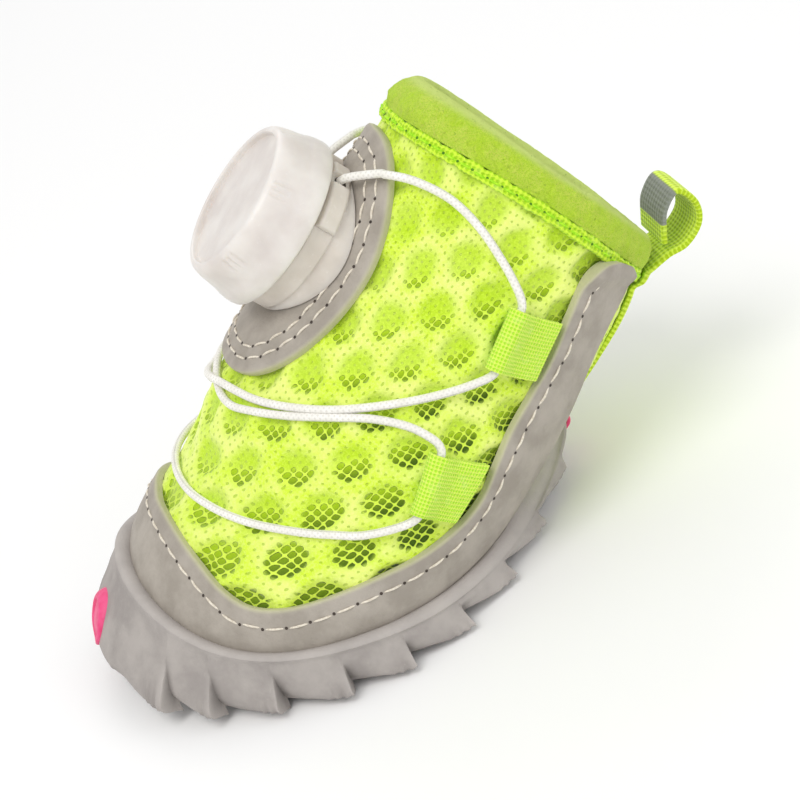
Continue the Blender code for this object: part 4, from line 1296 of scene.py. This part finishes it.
def lug_share(phase):
    return max(0.0, 1.0 - phase / LUG_RAMP)


def fin_share(phase):
    if phase < LUG_RAMP:
        return 0.55 * phase / LUG_RAMP
    return 0.55 + 0.45 * (phase - LUG_RAMP) / (1.0 - LUG_RAMP)


def sole_row(share):
    """Row values of the sole's wall at a share of its height."""
    rows = SOLE_ROWS + ((1.0, 0.0, 0.0, 0.0, 0.0),)
    i = 0
    while i < len(rows) - 2 and rows[i + 1][0] < share:
        i += 1
    t = (share - rows[i][0]) / (rows[i + 1][0] - rows[i][0])
    return {**dict(zip(SOLE_ROW_COLUMNS, curve(four_rows(rows, i), t))), "share": share}


@functools.lru_cache(maxsize=None)
def rim_at(turn):
    """Rim point, its flat outward direction, and the toe and heel shares of a turn."""
    rim = form(turn, RIM_LEVEL, CUP_STAND + RIM_WALL)
    out = form_normal(turn, RIM_LEVEL)
    out.z = 0.0
    out.normalize()
    cosine = math.cos(math.radians(turn))
    toe = max(0.0, (cosine - 1.0 + TOE_REACH) / TOE_REACH) ** 1.5
    heel = max(0.0, (-cosine - 1.0 + HEEL_REACH) / HEEL_REACH) ** 1.5
    return rim, out, toe, heel


def sole_point(turn, row, fin, lug, extra=0.0):
    """Point on a row of the sole's wall, with its fin, its lug and any extra stand."""
    rim, out, toe, heel = rim_at(turn)
    stand = row["side"] + toe * (row["toe"] - row["side"]) + heel * (row["heel"] - row["side"])
    stand += FIN_DEPTH * row["fin"] * (fin - FIN_REST) + extra
    base = toe * TOE_SPRING + heel * HEEL_LIFT
    height = base + (rim.z - base) * row["share"] + lug * LUG_DEPTH * (1.0 - row["share"])
    return Vector((rim.x + out.x * stand, rim.y + out.y * stand, height))


def edge_lengths():
    """Turns along one side of the sole's edge, with the length up to each."""
    row = dict(zip(SOLE_ROW_COLUMNS, SOLE_ROWS[1]))
    turns = [step / 2.0 for step in range(361)]
    return list(zip(run_lengths([sole_point(turn, row, 0.0, 1.0) for turn in turns]), turns))


def turn_at(length, lengths):
    for (start, turn), (end, after) in zip(lengths, lengths[1:]):
        if end >= length:
            return turn + (after - turn) * (length - start) / (end - start)
    return 180.0


def tread_height(x, lug):
    """Height of the tread under the sole's middle: flat, rising at toe and heel."""
    along = (x + MIDDLE_X) / SOLE_LENGTH
    toe = max(0.0, (TOE_ROLL - along) / ROLL_LENGTH)
    heel = max(0.0, (along - HEEL_ROLL) / ROLL_LENGTH)
    return TOE_SPRING * toe ** 1.5 + HEEL_LIFT * heel ** 1.5 + lug * LUG_DEPTH


def edge_ring():
    """Turn, ridge phase, strength of the ridges and length from the toe, all around the sole."""
    lengths = edge_lengths()
    total = lengths[-1][0]
    side = [TREAD_END + (total - 2.0 * TREAD_END) * i / EDGE_ALONG for i in range(EDGE_ALONG + 1)]
    around_end = [2.0 * TREAD_END * j / EDGE_ACROSS for j in range(1, EDGE_ACROSS)]
    heel = [total - TREAD_END + length for length in around_end]
    far = [2.0 * total - length for length in reversed(side)]
    toe = [-TREAD_END + length for length in around_end]
    ring = []
    for length in side + heel + far + toe:
        own = length if length <= total else 2.0 * total - length
        turn = math.copysign(turn_at(abs(own), lengths), own)
        if length > total:
            turn = 360.0 - turn
        own = abs(own)
        fade = ease(0.0098, 0.0160, own) * ease(0.0, 0.010, total - own)
        ring.append((turn, edge_phase(min(own, total - 1e-6), total), fade, own))
    return ring


def wall_rows(build, ring):
    """Vertices of the sole's wall with its fins and ribs, from the tread up to the rim."""
    rows = []
    for j in range(WALL_ROWS + 1):
        share = j / WALL_ROWS
        row = sole_row(share)
        line = []
        for turn, phase, fade, own in ring:
            fin = FIN_REST + (fin_share(phase) - FIN_REST) * fade
            lug = lug_share(phase) * fade + (1.0 - fade)
            rib = 0.00022 * math.sin(math.tau * own / 0.0015) * ease(0.55, 0.8, phase)
            rib *= ease(0.03, 0.15, share) * (1.0 - ease(0.30, 0.48, share)) * fade
            swell = 0.0006 * math.sin(math.pi * share)
            swell *= noise.noise(Vector((own * 60.0, share * 3.0, 0.0)))
            point = sole_point(turn, row, fin, lug, rib + swell * 0.4)
            # Painted highlight on the fin crests and near the rim's top, painted shade in the groove
            # at the foot of each fin's step.
            raised = ease(0.86, 1.0, phase) * row["fin"] * fade + 0.5 * ease(0.93, 1.0, share)
            groove = (1.0 - ease(0.0, 0.16, phase)) * min(1.0, 1.6 * row["fin"]) * fade
            nick = (1.0 - ease(0.10, 0.26, share)) * ease(0.003, 0.005, own)
            nick *= 1.0 - ease(0.013, 0.017, own)
            line.append(build.vert(
                point, (own * MM, (point.z - rim_at(turn)[0].z) * MM),
                raised=min(1.0, max(0.0, raised)), groove=max(0.0, groove), nick=nick))
        rows.append(line)
    return rows


def cup_rows(build, ring):
    """Vertices over the rim and down the inside of the cup.

    The rim's rows hold its stand, its rise and how far it draws in where no rand covers it.
    """
    rows = []
    for stand, rise, bare in (
            (0.8, 0.00035, 0.0), (0.5, 0.0005, 0.0), (0.2, 0.0004, 0.1), (-0.12, 0.0001, 0.4),
            (-0.32, -0.0004, 0.4)):
        line = []
        for turn, *_ in ring:
            share = stand - bare * ease(128.0, 136.0, turn_gap(turn))
            point = form(turn, RIM_LEVEL, CUP_STAND + RIM_WALL * share) + Vector((0.0, 0.0, rise))
            # The rim's rows carry painted highlight.
            line.append(build.vert(point, raised=0.7))
        rows.append(line)
    for share, drop in ((1.0, 0.0), (0.6, 0.0), (0.3, 0.0), (0.0, SEAT_WALL)):
        down = Vector((0.0, 0.0, drop))
        rows.append([
            build.vert(form(turn, share * RIM_LEVEL, CUP_STAND) - down) for turn, *_ in ring])
    return rows


def wavy(point, low_x, high_x, t, phase):
    """Place on the tread's waves for a place on its plain surface, with its painted highlight and
    painted shade.
    """
    ends = max(0.0, min(1.0, min(point.x - low_x, high_x - point.x) / WAVE_EASE))
    sides = 1.0 - abs(2.0 * t - 1.0) ** 6
    swing = math.cos(math.tau * WAVES_ACROSS * (t - 0.5)) * sides * ends
    x = point.x - WAVE_HEIGHT * swing
    rib = ease(0.50, 0.62, phase) * (1.0 - ease(0.90, 0.97, phase))
    rib *= min(1.0, 6.0 * min(t, 1.0 - t))
    height = tread_height(x, lug_share(phase))
    height += 0.00030 * rib * max(0.0, math.sin(math.tau * point.y / 0.0017))
    return Vector((x, point.y, height)), ease(0.9, 1.0, phase), 1.0 - ease(0.0, 0.15, phase)


def fill(build, edge, ring, tread):
    """Grid inside a closed row of the sole, for its tread or its seat."""
    along, across = EDGE_ALONG, EDGE_ACROSS
    near = edge[:along + 1]
    back = edge[along:along + across + 1]
    far = edge[along + across:2 * along + across + 1][::-1]
    front = ([edge[0]] + edge[:2 * along + across - 1:-1])[:across] + [far[0]]
    grid = [front]
    for i in range(1, along):
        s = i / along
        line = [near[i]]
        for j in range(1, across):
            t = j / across
            point = (front[j].co * (1 - s) + back[j].co * s + near[i].co * (1 - t) + far[i].co * t
                     - front[0].co * (1 - s) * (1 - t) - front[-1].co * (1 - s) * t
                     - back[0].co * s * (1 - t) - back[-1].co * s * t)
            raised = groove = 0.0
            if tread:
                point, raised, groove = wavy(point, front[j].co.x, back[j].co.x, t, ring[i][1])
            line.append(build.vert(point, raised=raised, groove=groove))
        grid.append(line + [far[i]])
    build.skin(grid + [back])


def make_sole(material):
    """Cup sole with its fins, ribs, waves and rim."""
    ring = edge_ring()
    build = Builder("raised", "groove", "nick")
    rows = wall_rows(build, ring) + cup_rows(build, ring)
    build.skin(rows, closed_columns=True)
    fill(build, rows[0], ring, True)
    fill(build, rows[-1], ring, False)
    build.finish("sole_rubber", [material], replaces=("outsole",))


def make_badge(name, end, size, material, node):
    """Oval badge with a raised rim and a plain dome, moulded to the sole's wall."""
    middle = 0.0 if end > 0 else 180.0
    row = dict(zip(SOLE_ROW_COLUMNS, SOLE_ROWS[BADGE_ROW]))
    ahead, centre, behind = (sole_point(middle + turn, row, 0.0, 1.0) for turn in (2.0, 0.0, -2.0))
    height = centre.z + size["lift"]
    per_turn = (ahead - behind).length / 4.0
    profile = (
        (0.0, 0.95), (0.3, 0.92), (0.5, 0.80), (0.62, 0.62), (0.70, 0.72), (0.78, 1.05),
        (0.86, 1.12), (0.94, 0.95), (1.0, 0.45), (1.0, -0.30))
    build = Builder()
    rings = []
    for share, stand in smooth_rows(profile, 3)[1:]:
        ring = []
        for c, s in circle(BADGE_COLUMNS):
            z = height + size["height"] / 2.0 * share * s
            turn = middle - end * size["width"] / 2.0 * share * c / per_turn
            rim, out, toe, heel = rim_at(turn)
            base = toe * TOE_SPRING + heel * HEEL_LIFT + LUG_DEPTH
            high = (z - base) / (rim.z - base)
            wall = sole_point(turn, sole_row(min(max(high, 0.0), 1.0)), 0.0, 1.0)
            stand_out = out * (GAP + size["stand"] * stand)
            ring.append(build.vert(Vector((wall.x, wall.y, z)) + stand_out))
        rings.append(ring)
    build.skin(rings, closed_columns=True)
    for ring in (rings[0], rings[-1]):
        build.fan(build.vert(sum((vert.co for vert in ring), Vector()) / BADGE_COLUMNS), ring)
    build.finish(name, [material], replaces=(node,))


def dress_insole():
    """The CAD insole is right as it is, and gets a cloth face."""
    cloth = Paint("insole_cloth", 0.9, 0.15).grain(
        (0.30, 0.30, 0.28), (0.38, 0.38, 0.35), 0.5, 0.0001, 4.0)
    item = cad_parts["insole"]
    item.data.materials.clear()
    item.data.materials.append(cloth)


# Stage

EYE = Vector((-0.0120, -0.2714, 0.1710))
AIM = Vector((0.0019, -0.0068, 0.0284))
ROLL = math.radians(23.8)
LENS = 81.4


def make_camera():
    """Camera of the photograph: above the boot's near side, and rolled."""
    back = (EYE - AIM).normalized()
    right = Vector((0.0, 0.0, 1.0)).cross(back).normalized()
    up = back.cross(right)
    across = right * math.cos(ROLL) - up * math.sin(ROLL)
    upward = right * math.sin(ROLL) + up * math.cos(ROLL)
    data = bpy.data.cameras.new("camera")
    data.sensor_width = 36.0
    data.lens = LENS
    data.clip_start = 0.01
    data.clip_end = 20.0
    camera = bpy.data.objects.new("camera", data)
    turn = Matrix((across, upward, back)).transposed().to_4x4()
    camera.matrix_world = Matrix.Translation(EYE) @ turn
    bpy.context.scene.collection.objects.link(camera)
    bpy.context.scene.camera = camera


def area_light(name, place, aim_height, size, power, colour):
    """Round light that looks at a height over the frame's origin."""
    data = bpy.data.lights.new(name, "AREA")
    data.shape = "DISK"
    data.size = size
    data.energy = power
    data.color = colour
    item = bpy.data.objects.new(name, data)
    direction = Vector((0.0, 0.0, aim_height)) - Vector(place)
    item.rotation_euler = direction.to_track_quat("-Z", "Y").to_euler()
    item.location = place
    bpy.context.scene.collection.objects.link(item)


def make_stage():
    """Pale floor and soft studio light."""
    bpy.context.scene.view_settings.view_transform = "Standard"
    bm = bmesh.new()
    bmesh.ops.create_grid(bm, x_segments=1, y_segments=1, size=6.0)
    mesh = bpy.data.meshes.new("floor")
    bm.to_mesh(mesh)
    bm.free()
    floor = bpy.data.objects.new("floor", mesh)
    paint = Paint("floor_white", 0.85, 0.1)
    paint.colour((0.97, 0.97, 0.97))
    mesh.materials.append(paint.material)
    bpy.context.scene.collection.objects.link(floor)
    world = bpy.data.worlds.new("studio")
    world.use_nodes = True
    background = world.node_tree.nodes["Background"]
    background.inputs["Color"].default_value = (1.0, 1.0, 1.0, 1.0)
    background.inputs["Strength"].default_value = 0.74
    bpy.context.scene.world = world
    area_light("key", (-0.25, -0.35, 0.75), 0.03, 0.45, 2.5, (1.0, 0.99, 0.97))
    area_light("fill", (0.6, -0.5, 0.45), 0.03, 0.6, 0.9, (0.97, 0.98, 1.0))
    area_light("back", (0.1, 0.7, 0.6), 0.04, 0.5, 1.0, (1.0, 1.0, 1.0))


def main():
    lining = Paint("lining", 0.9, 0.1).grain(
        (0.62, 0.72, 0.20), (0.72, 0.82, 0.28), 0.4, 0.0001, 3.0)
    grey = leather()
    cream = thread("cream_thread", (0.93, 0.90, 0.84), (0.84, 0.80, 0.73))
    # Dark of the needle holes and lace port eyes: painted shade in the holes.
    dark = thread("needle_hole", (0.22, 0.19, 0.17), (0.30, 0.26, 0.23))
    green_thread = thread("green_thread", (0.74, 0.96, 0.18), (0.60, 0.88, 0.08))
    # Painted shade in the collar's needle holes.
    green_hole = thread("green_hole", (0.28, 0.50, 0.02), (0.34, 0.58, 0.04))
    # Each webbing's light and dark colours are its painted highlight and painted shade on the
    # relief.
    tape = webbing("green_tape", (0.86, 1.00, 0.26), (0.68, 0.88, 0.08), 0.8, 0.7)
    loop_cloth = webbing("green_webbing", (0.90, 1.00, 0.40), (0.70, 0.94, 0.15), 0.62, 0.5)
    band_cloth = webbing(
        "yellow_green_webbing", (0.90, 1.00, 0.34), (0.70, 0.82, 0.06), 1.0, 0.8,
        stripe=(46.0, 52.0, (0.47, 0.49, 0.45)))
    plastic = milky_plastic("milky_plastic", (0.840, 0.810, 0.790), (0.895, 0.875, 0.855))
    foot_plastic = milky_plastic("foot_plastic", (0.820, 0.785, 0.740), (0.880, 0.850, 0.810))
    pink = Paint("pink_rubber", 0.45, 0.45).grain(
        (0.90, 0.25, 0.47), (0.94, 0.34, 0.55), 0.5, 0.00005, 4.0)

    make_upper(mesh_cloth(), lining)
    make_rand(grey)
    make_patch(grey)
    sew("rand", [rand_line(RAND_INSET)], SEAT_GAP + RAND_WALL, RAND_PITCH, (cream, dark))
    sew("patch", [patch_line(inset) for inset in PATCH_INSETS], SEAT_GAP + PATCH_WALL, PATCH_PITCH,
        (cream, dark))
    make_collar(plush_cloth())
    make_tape(tape)
    turns = [360.0 * j / 240 for j in range(241)]
    seam = [(turn, tape_level(turn, 0.6 * TAPE_WIDTH)) for turn in turns]
    sew("collar", [seam], GAP + TAPE_WALL * 0.9, COLLAR_PITCH, (green_thread, green_hole),
        COLLAR_HOLE_RADIUS)
    make_lace(braid())
    for name, corners in LOOPS.items():
        for side, suffix in ((1, "near"), (-1, "far")):
            node = f"{name}_loop_{suffix}"
            make_loop(node + "_weave", corners, side, loop_cloth, node)
    make_heel_webbing(band_cloth)
    make_cap(plastic)
    make_base(foot_plastic, dark)
    make_sole(rubber())
    make_badge("toe_badge_dome", 1, TOE_BADGE, pink, "toe_badge")
    make_badge("heel_badge_dome", -1, HEEL_BADGE, pink, "heel_badge")
    dress_insole()
    make_camera()
    make_stage()


main()
